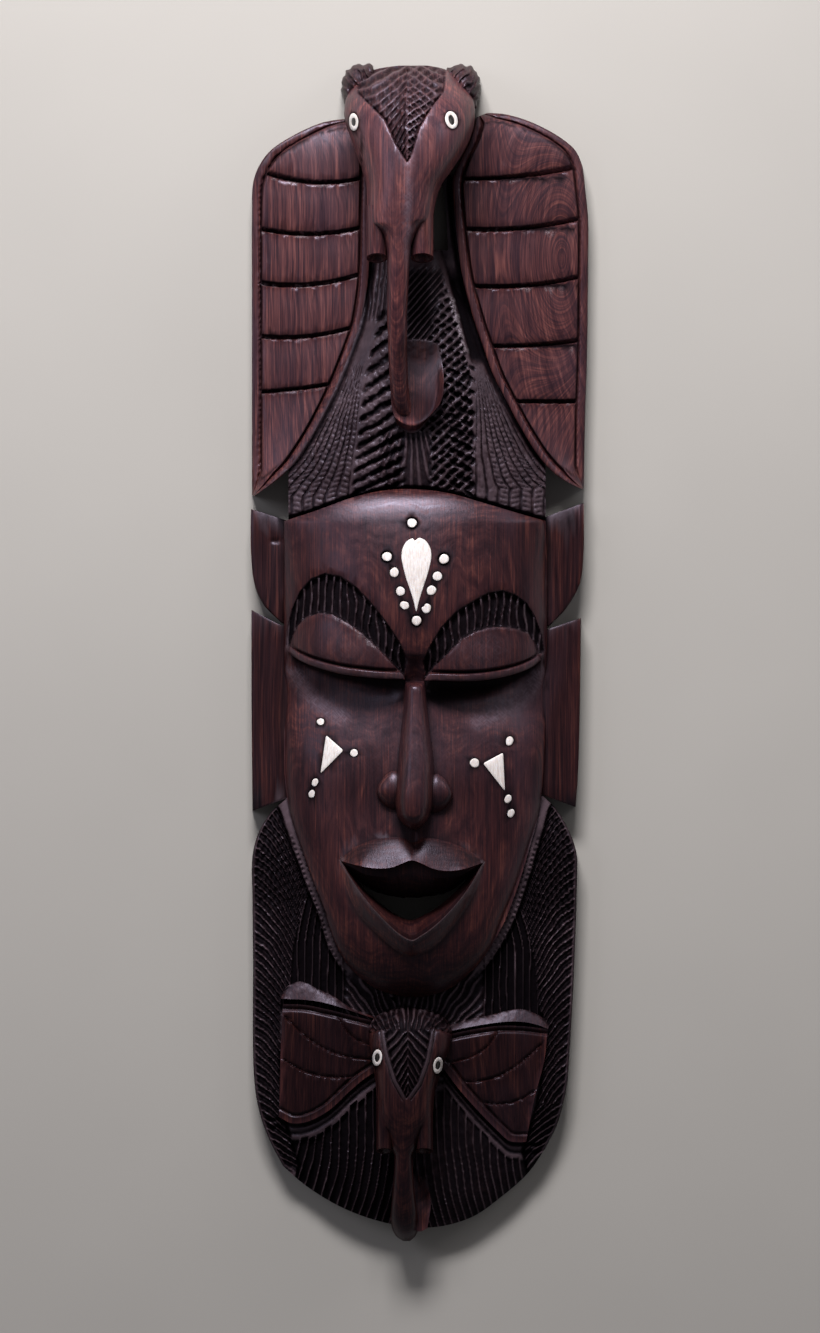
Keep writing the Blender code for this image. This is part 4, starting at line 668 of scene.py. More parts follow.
def offset(poly, d):
    """outline moved outwards by d"""
    p = np.asarray(poly, float)
    a, b = p - np.roll(p, 1, axis=0), np.roll(p, -1, axis=0) - p
    na = np.column_stack([a[:, 1], -a[:, 0]]) / np.linalg.norm(a, axis=1)[:, None]
    nb = np.column_stack([b[:, 1], -b[:, 0]]) / np.linalg.norm(b, axis=1)[:, None]
    area = 0.5 * np.sum(p[:, 0] * np.roll(p[:, 1], -1) - np.roll(p[:, 0], -1) * p[:, 1])
    m = na + nb
    m = m / np.maximum(np.sum(m * na, axis=1), 0.45)[:, None]
    return p + m * d * (1 if area > 0 else -1)


def plate(outline, surface, up, down, shrink=(1.0,)):
    """solid under an outline that follows a surface: from down under it to up over it"""
    o = np.asarray(outline, float)
    c = o.mean(axis=0)
    rings = []
    for f in shrink[::-1]:
        p = c + (o - c) * f
        rings.append(np.column_stack([p, surface(p[:, 0], p[:, 1]) + up]))
    for f in shrink:
        p = c + (o - c) * f
        rings.append(np.column_stack([p, surface(p[:, 0], p[:, 1]) - down]))
    return tube(rings)


def ring_plate(outline, hole, surface, up, down):
    """flat ring between two outlines of equal counts"""
    loops = []
    for o, dz in ((outline, up), (hole, up), (hole, -down), (outline, -down)):
        o = np.asarray(o, float)
        loops.append(np.column_stack([o, surface(o[:, 0], o[:, 1]) + dz]))
    n = len(outline)
    faces = [(i * n + j, i * n + (j + 1) % n, ((i + 1) % 4) * n + (j + 1) % n, ((i + 1) % 4) * n + j)
             for i in range(4) for j in range(n)]
    return np.vstack(loops), faces


DROP_Y = (538.0, 611.0)
DROP_HALF = [(538, 3.5), (540, 8.0), (545, 12.2), (551, 14.5), (557, 15.0), (566, 13.6), (578, 10.2), (590, 6.3),
             (602, 2.6), (611, 0.5)]


def drop_outline(n):
    ys = DROP_Y[0] + (DROP_Y[1] - DROP_Y[0]) * (0.5 - 0.5 * np.cos(np.pi * np.linspace(0, 1, n))) ** 1.15
    w = prof(DROP_HALF, ys)
    return np.vstack([np.column_stack([416.3 + w, ys]), np.column_stack([416.3 - w, ys])[::-1]])


# centre, half sizes, and whether a wider dark bed shows round it
FOREHEAD_DOTS = [(412, 523, 4.6, 4.6, 1), (387, 556.7, 4.8, 4.6, 1), (444, 559, 4.8, 4.9, 1), (416.6, 620.7, 4.8, 4.7, 1),
                 (394.3, 572.5, 4.5, 4.8, 0), (400.5, 591.3, 4.4, 4.7, 0), (404.6, 605.4, 4.6, 4.0, 0),
                 (437.4, 576.3, 4.6, 4.7, 0), (431.4, 590.4, 4.6, 4.9, 0), (426.4, 608.5, 4.6, 4.8, 0)]
CHEEK_DOTS_L = [(320.6, 721.8, 3.6, 3.5, 0), (354, 753, 3.9, 3.8, 0), (315, 782.4, 3.1, 4.1, 0), (311.7, 794, 3.1, 4.0, 0)]
CHEEK_DOTS_R = [(509.5, 741, 3.6, 4.8, 0), (474.6, 763, 4.6, 4.7, 0), (508, 799, 3.3, 4.6, 0), (511, 813.3, 3.3, 4.4, 0)]
TRIANGLE_L = [(326.0, 735.0), (343.6, 750.4), (320.4, 774.0)]
TRIANGLE_R = [(503.2, 752.5), (483.0, 763.5), (505.0, 791.5)]
EYES = {"large_left": (353.6, 122, 4.7, 8.7, 1.8, 3.9, -0.05, BIG_HEAD), "large_right": (451.5, 120, 6.2, 8.8, 2.4, 4.8, -0.25, BIG_HEAD),
        "small_left": (377.2, 1057.7, 4.9, 8.1, 2.1, 4.0, 0.12, SMALL_HEAD),
        "small_right": (438, 1065.4, 4.7, 8.2, 2.1, 4.0, 0.18, SMALL_HEAD)}
GAP = 0.375             # 0.3 mm in drawing units
BED = 1.7               # how far the dark bed reaches past a dot


# ================================================================ the finished surface
work = bpy.data.collections.new("work")
bpy.context.scene.collection.children.link(work)


def hashed(i, j, seed):
    """a fixed number from 0 to 1 for a cell"""
    n = (np.asarray(i).astype(np.int64) * 374761393 + np.asarray(j).astype(np.int64) * 668265263 + seed * 974634777) & 0xffffffff
    n = ((n ^ (n >> 13)) * 1274126177) & 0xffffffff
    return ((n ^ (n >> 16)) & 0xffff) / 65535.0


def noise(x, y, seed=0):
    """smooth noise from -1 to 1 with one cell a unit"""
    i, j = np.floor(x), np.floor(y)
    u, v = x - i, y - j
    u, v = u * u * (3 - 2 * u), v * v * (3 - 2 * v)
    a, b = hashed(i, j, seed), hashed(i + 1, j, seed)
    c, d = hashed(i, j + 1, seed), hashed(i + 1, j + 1, seed)
    return 2 * ((a * (1 - u) + b * u) * (1 - v) + (c * (1 - u) + d * u) * v) - 1


def frac(v):
    return v - np.floor(v)


def gouge(p, ridge=0.12, slope=0.45):
    """0 on the ridges at whole numbers of p, 1 along the bottoms between them"""
    return smooth(ridge, ridge + slope, 1 - np.abs(2 * frac(p) - 1))


def slit(p, half=0.2, slope=0.14):
    """1 in a narrow cut at the middle of each cell of p"""
    return 1 - smooth(half, half + slope, np.abs(frac(p) - 0.5))


def pits(p, q, la, lb, seed, jitter=0.12):
    """one leaf-shaped pit in each cell of p and q"""
    i, j = np.floor(p), np.floor(q)
    a = p - i - 0.5 + jitter * (2 * hashed(i, j, seed) - 1)
    b = q - j - 0.5 + jitter * (2 * hashed(i, j, seed + 7) - 1)
    size = 0.75 + 0.5 * hashed(i, j, seed + 13)
    return np.clip(1 - (a / (la * size)) ** 2 - (b / (lb * size)) ** 2, 0, 1) ** 0.6


def band(a, b, x, soft=1.5):
    """1 between a and b"""
    return smooth(a - soft, a + soft, x) * (1 - smooth(b - soft, b + soft, x))


def curve_x(pts, y):
    """x of a curve that runs down the carving"""
    d = dense(pts)
    return np.interp(y, d[:, 1], d[:, 0])


def curve_y(pts, x):
    d = dense(pts)
    k = np.argsort(d[:, 0])
    return np.interp(x, d[k, 0], d[k, 1])


def strip_coords(pts, x, y):
    """distance to a curve and place along it"""
    d = dense(pts, 5)
    a = arc(d)
    best = np.full(x.shape, 1e9)
    s = np.zeros(x.shape)
    for k in range(len(d) - 1):
        (ax, ay), (bx, by) = d[k], d[k + 1]
        dx, dy = bx - ax, by - ay
        t = np.clip(((x - ax) * dx + (y - ay) * dy) / max(dx * dx + dy * dy, 1e-9), 0, 1)
        r = (x - ax - t * dx) ** 2 + (y - ay - t * dy) ** 2
        near = r < best
        best = np.where(near, r, best)
        s = np.where(near, a[k] + t * (a[k + 1] - a[k]), s)
    return np.sqrt(best), s


FACE_EDGE = face_outline(36)
PAD_OUTLINE = np.vstack([PAD_TOP, PAD_RIGHT, PAD_BOTTOM[::-1], PAD_LEFT[::-1]])
BIG_FINE = dict(BIG_HEAD)
BIG_FINE["left"] = BIG_HEAD["left"][:12] + [(204, 367), (216, 367), (222, 368.2), (226, 373), (231, 379.5), (238, 384), (248, 386.5)] + BIG_HEAD["left"][16:]
BIG_FINE["right"] = BIG_HEAD["right"][:12] + [(204, 435.5), (214, 433.5), (219, 432), (223, 426.5), (229, 420.5), (237, 415), (247, 411)] + BIG_HEAD["right"][16:]
SMALL_FINE = dict(SMALL_HEAD)
SMALL_FINE["left"] = SMALL_HEAD["left"][:9] + [(1118, 377), (1125, 378.5), (1130, 383), (1139, 388), (1149, 391.5), (1156, 394.5)] + SMALL_HEAD["left"][13:]
SMALL_FINE["right"] = SMALL_HEAD["right"][:9] + [(1118, 432.5), (1124, 430.5), (1129, 425.5), (1138, 420.5), (1148, 416), (1156, 412.5)] + SMALL_HEAD["right"][13:]
BRIDGE_L = [(676, 405), (690, 404.8), (726, 401.5), (772, 397), (800, 394.8), (814, 396.5), (822, 401), (827, 406.5), (830, 412)]
BRIDGE_R = [(676, 424.5), (690, 425.5), (726, 429.5), (772, 434), (800, 433.5), (814, 430.5), (822, 426.5), (827, 421.5), (830, 416)]
BRIDGE_TOP = [(676, 61), (681, 61.5), (683, 72), (684.5, 79), (687, 82.5), (700, 84.5), (726, 88.5), (772, 95.5), (800, 98.5), (814, 97.5),
              (822, 93.5), (827, 87), (830, 79)]
BROW_L_POLY = BROW_L_OUT + BROW_L_IN[::-1]
BROW_R_POLY = BROW_R_OUT + BROW_R_IN[::-1]


# ---------------------------------------------------------------- carving of the field between the large ears
def mound_relief(x, y):
    z = np.zeros(x.shape)
    el, er = curve_x(EAR_L_IN, y) + 2.5, curve_x(EAR_R_IN, y) - 2.5
    gl = np.interp(y, [300, 340, 377, 448, 486, 532], [377, 371, 362, 354, 349.5, 347])
    gr = np.interp(y, [330, 360, 420, 495, 532], [470, 476.5, 476.5, 475, 474.5])
    wob = 0.25 * noise(x / 14, y / 14, 3)

    # cords that fan out along the left ear
    w = np.maximum(gl - el, 1)
    p = 8 * (x - el) / w + 0.12 * noise(x / 20, y / 12, 5)
    size = np.clip(w / 8 / 5.0, 0, 1) * smooth(352, 372, y)
    i = np.floor(p)
    q = y / 5.2 + 0.55 * (frac(p) - 0.5) * np.where(i % 2 == 0, 1, -1) + hashed(i, 0, 11)
    cords = -1.5 * (1 - gouge(p, 0.06, 0.34)) - 0.6 * slit(q, 0.10, 0.22) * gouge(p, 0.1, 0.4) + 0.35 * noise(x / 2.2, y / 4, 4)
    mask = (1 - smooth(gl - 1.0, gl + 1.0, x)) * smooth(el - 1.5, el + 1.5, x)
    z += cords * size * mask
    # and along the right ear
    w = np.maximum(er - gr, 1)
    p = 9 * (x - gr) / w + 0.12 * noise(x / 20, y / 12, 6)
    i = np.floor(p)
    q = y / 5.0 + 0.55 * (frac(p) - 0.5) * np.where(i % 2 == 0, -1, 1) + hashed(i, 0, 12)
    plain = (i < 2) | (i > 6)
    cords = -1.5 * (1 - gouge(p, 0.06, 0.34)) - np.where(plain, 0.15, 0.6) * slit(q, 0.10, 0.22) * gouge(p, 0.1, 0.4) + 0.35 * noise(x / 2.2, y / 4, 4)
    size = np.clip(w / 9 / 5.0, 0, 1) * smooth(356, 378, y)
    mask = smooth(gr - 1.0, gr + 1.0, x) * (1 - smooth(er - 1.5, er + 1.5, x))
    z += cords * size * mask

    # long gouges rising towards the trunk, left
    ya = y.copy()
    for _ in range(5):
        m = np.interp(ya, [300, 340, 480], [0.85, 0.72, 0.46])
        ya = y + m * (x - 388)
    rows = np.interp(ya, [290, 318, 366, 411, 449, 483, 500, 540], [-1.7, 0, 3, 6, 9, 12, 13.6, 17.5])
    left = smooth(gl + 1.0, gl + 6.0, x)
    mask = left * (1 - smooth(398, 408, x)) * smooth(306, 322, y)
    deep = 0.70 + 0.30 * noise(x / 8, rows * 1.3, 17)
    z += mask * (-4.0 * deep * slit(rows + wob * 0.3 + 0.10 * noise(x / 4, y / 4, 7), 0.08, 0.20) + 0.7 * noise(x / 2.4, y / 2.4, 8))
    z += mask * 0.5 * (1 - slit(rows, 0.2, 0.2))
    # fine upright strokes over them, beside the neck
    mask = band(366, 392, x, 2) * (1 - smooth(312, 326, y))
    z += mask * (-1.3 * gouge((x + 0.10 * (y - 262)) / 4.6 + 0.2 * noise(x / 9, y / 16, 9), 0.2, 0.5))

    # right of the trunk: long cuts rising to the right, then a net of pits
    cut = -2.2 * gouge((y + 1.15 * (x - 408)) / 8.0 + wob * 0.3, 0.14, 0.35)
    net_p = (y + 0.95 * (x - 430)) / 10.4 + 0.16 * noise(x / 11, y / 11, 14)
    net_q = (y - 0.62 * (x - 430)) / 9.8 + 0.16 * noise(x / 9, y / 9, 19)
    net = -3.0 * gouge(net_p, 0.22, 0.42) * (0.35 + 0.65 * gouge(net_q, 0.22, 0.40)) + 0.6 * noise(x / 2.4, y / 2.4, 16)
    ridge_x = np.interp(y, [240, 262, 285, 303, 348, 375, 420], [436, 441, 447, 453, 465, 471, 474])
    field = smooth(404, 410, x) * (1 - smooth(ridge_x - 3, ridge_x + 1, x)) * smooth(262, 276, y)
    c = 1 - smooth(424, 434, x + 0.25 * (y - 340))
    z += field * (1 - smooth(486, 494, y)) * (cut * c + net * (1 - c)) * (1 - band(380, 431, x, 4) * smooth(424, 436, y))
    z = z * (1 - smooth(-2.0, 1.0, inside(PAD_OUTLINE, x, y)))
    # slanting leaf cuts beside the right cords
    lp = (y - 0.50 * (x - 460)) / 11.5
    lq = (x - 447) / 13.5 + 0.5 * (np.floor(lp) % 2)
    leafs = -2.6 * pits(lp, lq, 0.24, 0.44, 18)
    z += leafs * band(450, 475, x, 2) * smooth(358, 372, y)
    # the nicked ridge and the channel behind it
    e = x - ridge_x
    chip = slit((y - 296) / 15.0, 0.24, 0.12) * band(296, 356, y, 2)
    z += smooth(262, 290, y) * (1 - smooth(352, 368, y)) * (2.2 * np.exp(-((e + 1.0) / 2.6) ** 2) * (0.45 + 0.75 * chip)
                                                         - 3.4 * smooth(1.5, 4.5, e) * (1 - smooth(er - 3, er, x)))
    # strokes running down from the trunk's end
    th = np.arctan2(x - 411, y - 392)
    mask = band(380, 432, x, 3) * smooth(428, 438, y)
    z += mask * (-1.5 * gouge(th / 0.105 + 0.25 * noise(x / 12, y / 18, 21), 0.16, 0.5))
    # crease against the forehead and against the ears
    d = np.maximum(-inside(FACE_EDGE, x, y), 0)
    z += np.where(y > 440, -5.0 * np.clip(1 - d / 4.5, 0, 1) ** 1.3, 0)
    z += -2.2 * np.exp(-((x - el) / 2.4) ** 2) - 2.2 * np.exp(-((x - er) / 2.4) ** 2)
    z += 0.22 * noise(x / 3.2, y / 3.2, 23) + 0.12 * noise(x / 1.5, y / 1.5, 24)
    return z


# ---------------------------------------------------------------- carving of the lower board
LEFT_LOW = [(284, 800), (288, 808), (296, 832), (303, 852), (314, 883), (326, 913), (336, 945), (352, 970), (377, 989), (412, 997)]
RIGHT_LOW = [(544, 800), (541, 806), (535, 828), (528, 853), (517, 889), (505, 921), (490, 948), (472, 971), (447, 990), (412, 997)]


def board_relief(x, y):
    z = np.zeros(x.shape)
    right = x > 414
    edge = np.where(right, 828 - curve_x(BOARD_RIGHT, np.clip(y, 796, 1149)) , curve_x(BOARD_LEFT, np.clip(y, 798, 1166)))
    xm = np.where(right, 828 - x, x)                # the right half is read as the left one
    ym = np.where(right, y - 14, y)
    t = xm - edge
    wob = noise(x / 15, y / 15, 31)
    # upper corners: rows of small square nicks that curve down towards the middle
    tt = np.clip(xm - 254, 0, 60)
    tt = np.where(ym > 1090, np.clip(t, 0, 60), tt)
    c = (ym - 0.50 * tt - 0.020 * tt * tt) / 9.4 + 0.18 * wob + 0.05 * noise(x / 4, y / 4, 32)
    i = np.floor(c)
    q = (xm + 0.45 * ym) / 6.8 + 0.5 * (i % 2) + 0.2 * hashed(i, 3, 33)
    rows = -2.5 * gouge(c, 0.07, 0.34) + 0.4 + 0.5 * gouge(c, 0.6, 0.4)
    nick = -1.3 * slit(q, 0.13, 0.15) * (1 - 0.6 * gouge(c, 0.2, 0.5))
    inner = np.interp(ym, [930, 990, 1110, 1140, 1180], [31, 28, 27, 22, 14])
    split = np.interp(ym, [830, 870, 905, 930, 950, 990, 1010], [330, 318, 304, 297, 293, 290, 283])
    split = np.where(ym > 1000, edge + inner, split)
    corner = (1 - smooth(1164, 1176, ym)) * (1 - smooth(split - 1.5, split + 1.5, xm)) * smooth(1.5, 4.0, t)
    z += corner * (rows + nick * (1 - 0.65 * smooth(880, 925, ym)))
    z += smooth(1040, 1060, ym) * (-1.6 * np.exp(-((t - inner + 0.5) / 1.6) ** 2))
    # upright flutes between the border and the face
    bend = 0.0034 * np.clip(946 - ym, 0, 120) ** 2
    f = (xm - 298 - bend) / 7.5 + 0.15 * noise(x / 10, y / 34, 35)
    flutes = smooth(split - 1.0, split + 1.5, xm) * (1 - smooth(338, 350, xm)) * (1 - smooth(1008, 1016, ym))
    z += flutes * (-4.4 * gouge(f, 0.05, 0.26) + 0.7)
    # fine strokes round the small head
    th = np.arctan2(x - 410, 1068 - y)
    mask = smooth(338, 352, xm) * (1 - smooth(1040, 1052, y))
    z += mask * (-1.8 * gouge(th / 0.085 + 0.35 * noise(x / 12, y / 12, 37), 0.15, 0.45))
    # fans of flutes below the small ears
    ear_low = np.where(right, curve_y(SMALL_EAR_R[2], x), curve_y(SMALL_EAR_L[2], x))
    ear_low = np.where((x > 378) & (x < 443), 1072, ear_low)
    under = y - ear_low
    fan = (x + 0.0022 * np.clip(y - 1135, 0, 120) ** 2 + 0.35 * (y - 1150) * np.clip((340 - x) / 90, 0, 1)) / 8.3 + 0.12 * noise(x / 14, y / 26, 39)
    fan = fan + 0.05 * noise(x / 3, y / 9, 38)
    fan = np.where(right, (x - 0.0016 * np.clip(y - 1125, 0, 120) ** 2) / 7.4 + 0.14 * noise(x / 14, y / 26, 40), fan)
    i = np.floor(fan)
    start = 15.0 + 4.5 * hashed(i, 1, 41)
    lo = smooth(start - 0.8, start + 1.2, under) * smooth(edge + inner - 3, edge + inner, xm)
    z += lo * (-3.8 * gouge(fan, 0.05, 0.30) * np.where(right, 0.6, 1.0) * (0.55 + 0.45 * smooth(2, 10, t)) + 0.5)
    # the plain strip between the ear and the fan
    z += band(0, 15, under, 1.0) * smooth(4, 9, t) * (-2.2 * np.exp(-((under - 2.4) / 1.8) ** 2) - 1.6 * np.exp(-((under - 10.0) / 2.2) ** 2)
                                                      + 0.5 * np.exp(-((under - 6.2) / 1.2) ** 2))
    # rope strip beside the lower face
    for pts, side in ((LEFT_LOW, False), (RIGHT_LOW, True)):
        d, s = strip_coords(pts, x, y)
        d = np.where(inside(FACE_EDGE, x, y) > 0, 0, d)
        here = (right == side) & (d < 14)
        fade = 1 - smooth(150, 205, s)
        flat = (1 - smooth(7.0, 8.6, d)) * here
        cutd = smooth(3.8, 5.2, d) * slit(s / 5.4 + 0.25 * noise(s / 9, d * 0, 45), 0.20, 0.14) * smooth(30, 44, s)
        cutd = cutd + 0.5 * (1 - smooth(1.2, 2.2, d)) * slit(s / 5.4 + 0.5, 0.16, 0.12) * smooth(40, 54, s)
        base = z * (1 - flat) + flat * (2.7 - 1.5 * cutd)
        z = np.where(here, z + (base - z) * fade, z)
        z = z - 1.6 * here * fade * np.exp(-((d - 9.6) / 1.3) ** 2)
    # worn outer edge
    z += -1.2 * np.clip(1 - t / 3.0, 0, 1) ** 2
    z += 0.20 * noise(x / 3.2, y / 3.2, 43) + 0.12 * noise(x / 1.5, y / 1.5, 44)
    return z


# ---------------------------------------------------------------- carving of the face
def socket(x, y, low, a, b):
    """deep shadow just under a lid"""
    d = y - curve_y(low, x)
    return -9.5 * smooth(-5, 1.0, d) * np.exp(-(np.maximum(d, 0) / 13.0) ** 2) * smooth(a, a + 22, x) * (1 - smooth(b - 20, b, x))


def brow_rows(x, y, seed):
    return x / 7.4 + 0.16 * np.sin((y + 0.8 * x) / 8.5) + 0.16 * noise(x / 9, y / 14, seed)


def face_carved(x, y):
    z = face_height(x, y)
    for poly, out, seed in ((BROW_L_POLY, BROW_L_OUT, 51), (BROW_R_POLY, BROW_R_OUT, 52)):
        near = (np.abs(y - 640) < 75) & ((x < 412) if seed == 51 else (x > 418))
        d = np.full(x.shape, -50.0)
        d[near] = inside(poly, x[near], y[near])
        p = brow_rows(x, y, seed)
        hatch = -2.4 * smooth(-0.3, 1.4, d) + smooth(1.2, 3.0, d) * (1.3 - 3.6 * gouge(p, 0.13, 0.30) + 0.25 * noise(x / 1.8, y / 2.4, seed + 4))
        z = z + hatch
    z = z + socket(x, y, LID_L_LOW, 287, 409) + socket(x, y, LID_R_LOW, 420, 543)
    z = z - 3.0 * np.exp(-((x - 415) / 9.0) ** 2) * band(658, 682, y, 6)
    # groove under the nose
    z = z - 1.4 * np.exp(-((x - 413.6) / 2.2) ** 2) * band(832, 846, y, 2)
    # knife facets, hardly to be seen
    z = z + 0.10 * noise(x / 9, y / 22, 55) + 0.05 * noise(x / 4, y / 7, 56)
    return z


def lid_carved(x, y, u, v):
    s = np.sin(np.pi * np.clip(u, 0, 1))
    z = face_blank(x, y) - 0.6 + 4.4 * s ** 0.7 * np.sin(np.pi * np.clip(v, 0, 1) * 0.60)
    up = np.where(x < 415, curve_y(LID_L_LOW, x), curve_y(LID_R_LOW, x)) - y
    rim = 1 - smooth(6.4, 8.0, up)
    z = z - 3.8 * np.exp(-((up - 9.0) / 1.5) ** 2) * s ** 0.25 + 2.2 * rim * s ** 0.25
    z = z - 1.1 * (1 - smooth(0.0, 0.035, v)) * (0.6 + 0.4 * noise(x / 2.2, y / 2.2, 61))
    z = z - 0.9 * smooth(0.955, 1.0, v) ** 2
    return z + 0.06 * noise(x / 6, y / 6, 62)


# ---------------------------------------------------------------- carving of the ears
def ear_carved(seed, rough_rim):
    def relief(cross, d_out, d_in, fr, xy, k):
        x, y = xy[:, 0], xy[:, 1]
        panel = smooth(9.8, 11.6, d_in) * smooth(9.4, 10.8, d_out)
        t = cross + 0.35 * noise(x / 3.0, y / 30, seed) + 0.3 * noise(x / 1.4, y / 30, seed + 1)
        up, down = 4.2, 1.3
        cut = np.where(t < 0, -4.4 * np.clip(1 + t / up, 0, 1) ** 0.8, np.where(t < down, -4.4 + 5.3 * t / down, 0.9 * np.exp(-(t - down) / 3.0)))
        z = 1.5 * np.sin(np.pi * np.clip(fr, 0, 1)) ** 0.6 * panel + cut * panel
        z = z - 3.0 * np.exp(-((d_in - 9.3) / 1.25) ** 2) - 2.2 * np.exp(-((d_out - 8.9) / 1.1) ** 2)
        # nicks in the rims
        s = np.where(d_out < d_in, y + 0.6 * x, y)
        nick = slit(s / 6.4 + 0.5 * noise(x / 7, y / 7, seed + 2), 0.16, 0.2)
        z = z - rough_rim * nick * band(6.6, 9.6, d_out, 0.7) - 0.6 * nick * band(6.6, 9.0, d_in, 0.7)
        z = z - 0.7 * np.clip(1 - d_out / 1.6, 0, 1) ** 2 - 0.7 * np.clip(1 - d_in / 1.8, 0, 1) ** 2
        z = z + 0.10 * noise(x / 6, y / 16, seed + 3) + 0.05 * noise(x / 2, y / 6, seed + 4)
        return z * np.minimum(1.0, k * 1.3)
    return relief


# ---------------------------------------------------------------- crests
def crest_big(x, y):
    """depth of the cuts in the wedge of carving on top of the large head"""
    d = inside([(357, 40), (357, 93), (384, 119.5), (395, 144), (407, 163), (411, 157), (420, 127), (431, 109), (445, 90), (446, 40)], x, y)
    on = smooth(0.0, 1.3, d)
    ys = y.copy()
    for _ in range(6):
        m = np.interp(ys, [60, 85, 110, 150], [0.50, 0.95, 1.55, 2.4])
        ys = y - m * np.abs(407 - x)
    left = x < 407
    p = np.interp(ys, [-60, 30, 60, 100, 150, 170], [-11, -2.2, 2.2, 8, 14.2, 16.2]) + 0.12 * noise(x / 8, y / 8, 71)
    i = np.floor(p)
    along_l = np.abs(407 - x) / 9.0 + 0.5 * (i % 2)
    left_cut = -2.3 * gouge(p, 0.14, 0.36) + 1.0 * slit(along_l, 0.10, 0.14) * gouge(p, 0.14, 0.36)
    p2 = (y + 0.62 * (x - 407)) / 8.2 + 0.10 * noise(x / 8, y / 8, 72)
    right_cut = -2.4 * np.minimum(gouge(p, 0.14, 0.4), gouge(p2, 0.16, 0.4))
    spine = np.exp(-((x - 407) / 1.6) ** 2) * (y > 92)
    cut = np.where(left, left_cut, right_cut) * (1 - 0.7 * spine)
    border = -1.3 * np.exp(-((d - 0.9) / 0.8) ** 2) * slit((x + y) / 4.6, 0.30, 0.2) - 0.7 * np.exp(-((d - 0.7) / 0.8) ** 2)
    return on * cut + np.where(d > -1.5, border, 0), d


def crest_small(x, y):
    d = inside([(384, 985), (384, 1033), (388, 1055), (396, 1080), (406.5, 1099), (418, 1083), (426, 1060), (431, 1034), (432, 985)], x, y)
    on = smooth(0.0, 1.0, d)
    ys = y.copy()
    for _ in range(6):
        m = np.interp(ys, [1000, 1030, 1060, 1090], [0.75, 1.0, 1.7, 2.2])
        ys = y - m * np.abs(408 - x)
    p = ys / 8.8 + 0.12 * noise(x / 7, y / 7, 75)
    cut = -2.6 * gouge(p, 0.16, 0.34)
    spine = np.exp(-((x - 408) / 1.1) ** 2)
    low = smooth(1026, 1034, y)
    edge = -1.3 * np.exp(-((d - 0.4) / 0.7) ** 2) - 1.1 * np.exp(-((d + 4.4) / 0.7) ** 2)
    strokes = -1.7 * gouge(np.arctan2(x - 408, 1066 - y) / 0.105 + 0.35 * noise(x / 5, y / 9, 77), 0.12, 0.45)
    creases = 0.0
    for pts in ([(366, 1034), (380, 1028.5), (396, 1021)], [(367, 1026), (382, 1020), (398, 1013)],
                [(428, 1023), (440, 1028.5), (453, 1034)], [(424, 1014), (438, 1019), (452, 1024)]):
        creases = creases - 1.3 * np.exp(-(polyline_distance(pts, x, y) / 0.9) ** 2) * (np.abs(x - np.mean([q[0] for q in pts])) < 15)
    return on * cut * low * (1 - 0.5 * spine) + np.where((d > -6) & (y < 1101), edge, 0) * low + strokes * (1 - low) + creases, d


def fine_ring(head, y, over, under):
    left, right, top, wide, low = head_section(head, y)
    a = np.concatenate([np.linspace(0, np.pi, over, endpoint=False), np.linspace(np.pi, 2 * np.pi, under, endpoint=False)])
    cx, hw = (left + right) / 2, (right - left) / 2
    c, s = -np.cos(a), np.sin(a)
    e = np.where(s >= 0, 0.92, 0.85)
    x = cx + hw * np.sign(c) * np.abs(c) ** e
    z = wide + np.where(s >= 0, top - wide, wide - low) * np.sign(s) * np.abs(s) ** e
    return np.stack([x, np.full(len(a), float(y)), z], axis=-1)


def displaced(rings, depth):
    """rings moved along their normals by depth(x, y, z) in millimetres"""
    g = np.asarray(rings)
    m = g * np.array([0.8, 0.8, 1.0])
    du = np.roll(m, -1, axis=1) - np.roll(m, 1, axis=1)
    dv = np.gradient(m, axis=0)
    n = np.cross(du, dv)
    n /= np.maximum(np.linalg.norm(n, axis=2, keepdims=True), 1e-9)
    centre = m.mean(axis=1, keepdims=True)
    if np.sum(n * (m - centre)) < 0:
        n = -n
    out = m + n * depth(g[..., 0], g[..., 1], g[..., 2])[..., None]
    return out / np.array([0.8, 0.8, 1.0])


# ---------------------------------------------------------------- joining
def combine(base, other, how):
    m = base.modifiers.new(other.name, "BOOLEAN")
    m.operation, m.object = how, other
    m.solver = "MANIFOLD"
    bpy.context.view_layer.update()
    me = bpy.data.meshes.new_from_object(base.evaluated_get(bpy.context.evaluated_depsgraph_get()))
    base.modifiers.clear()
    old = base.data
    base.data = me
    bpy.data.meshes.remove(old)
    tool = other.data
    bpy.data.objects.remove(other, do_unlink=True)
    bpy.data.meshes.remove(tool)


def grid_solid(name, grid, floor):
    return solid(name, *slab(grid, floor), work)


def lift(points, height):
    return np.concatenate([points, height[..., None]], axis=-1)


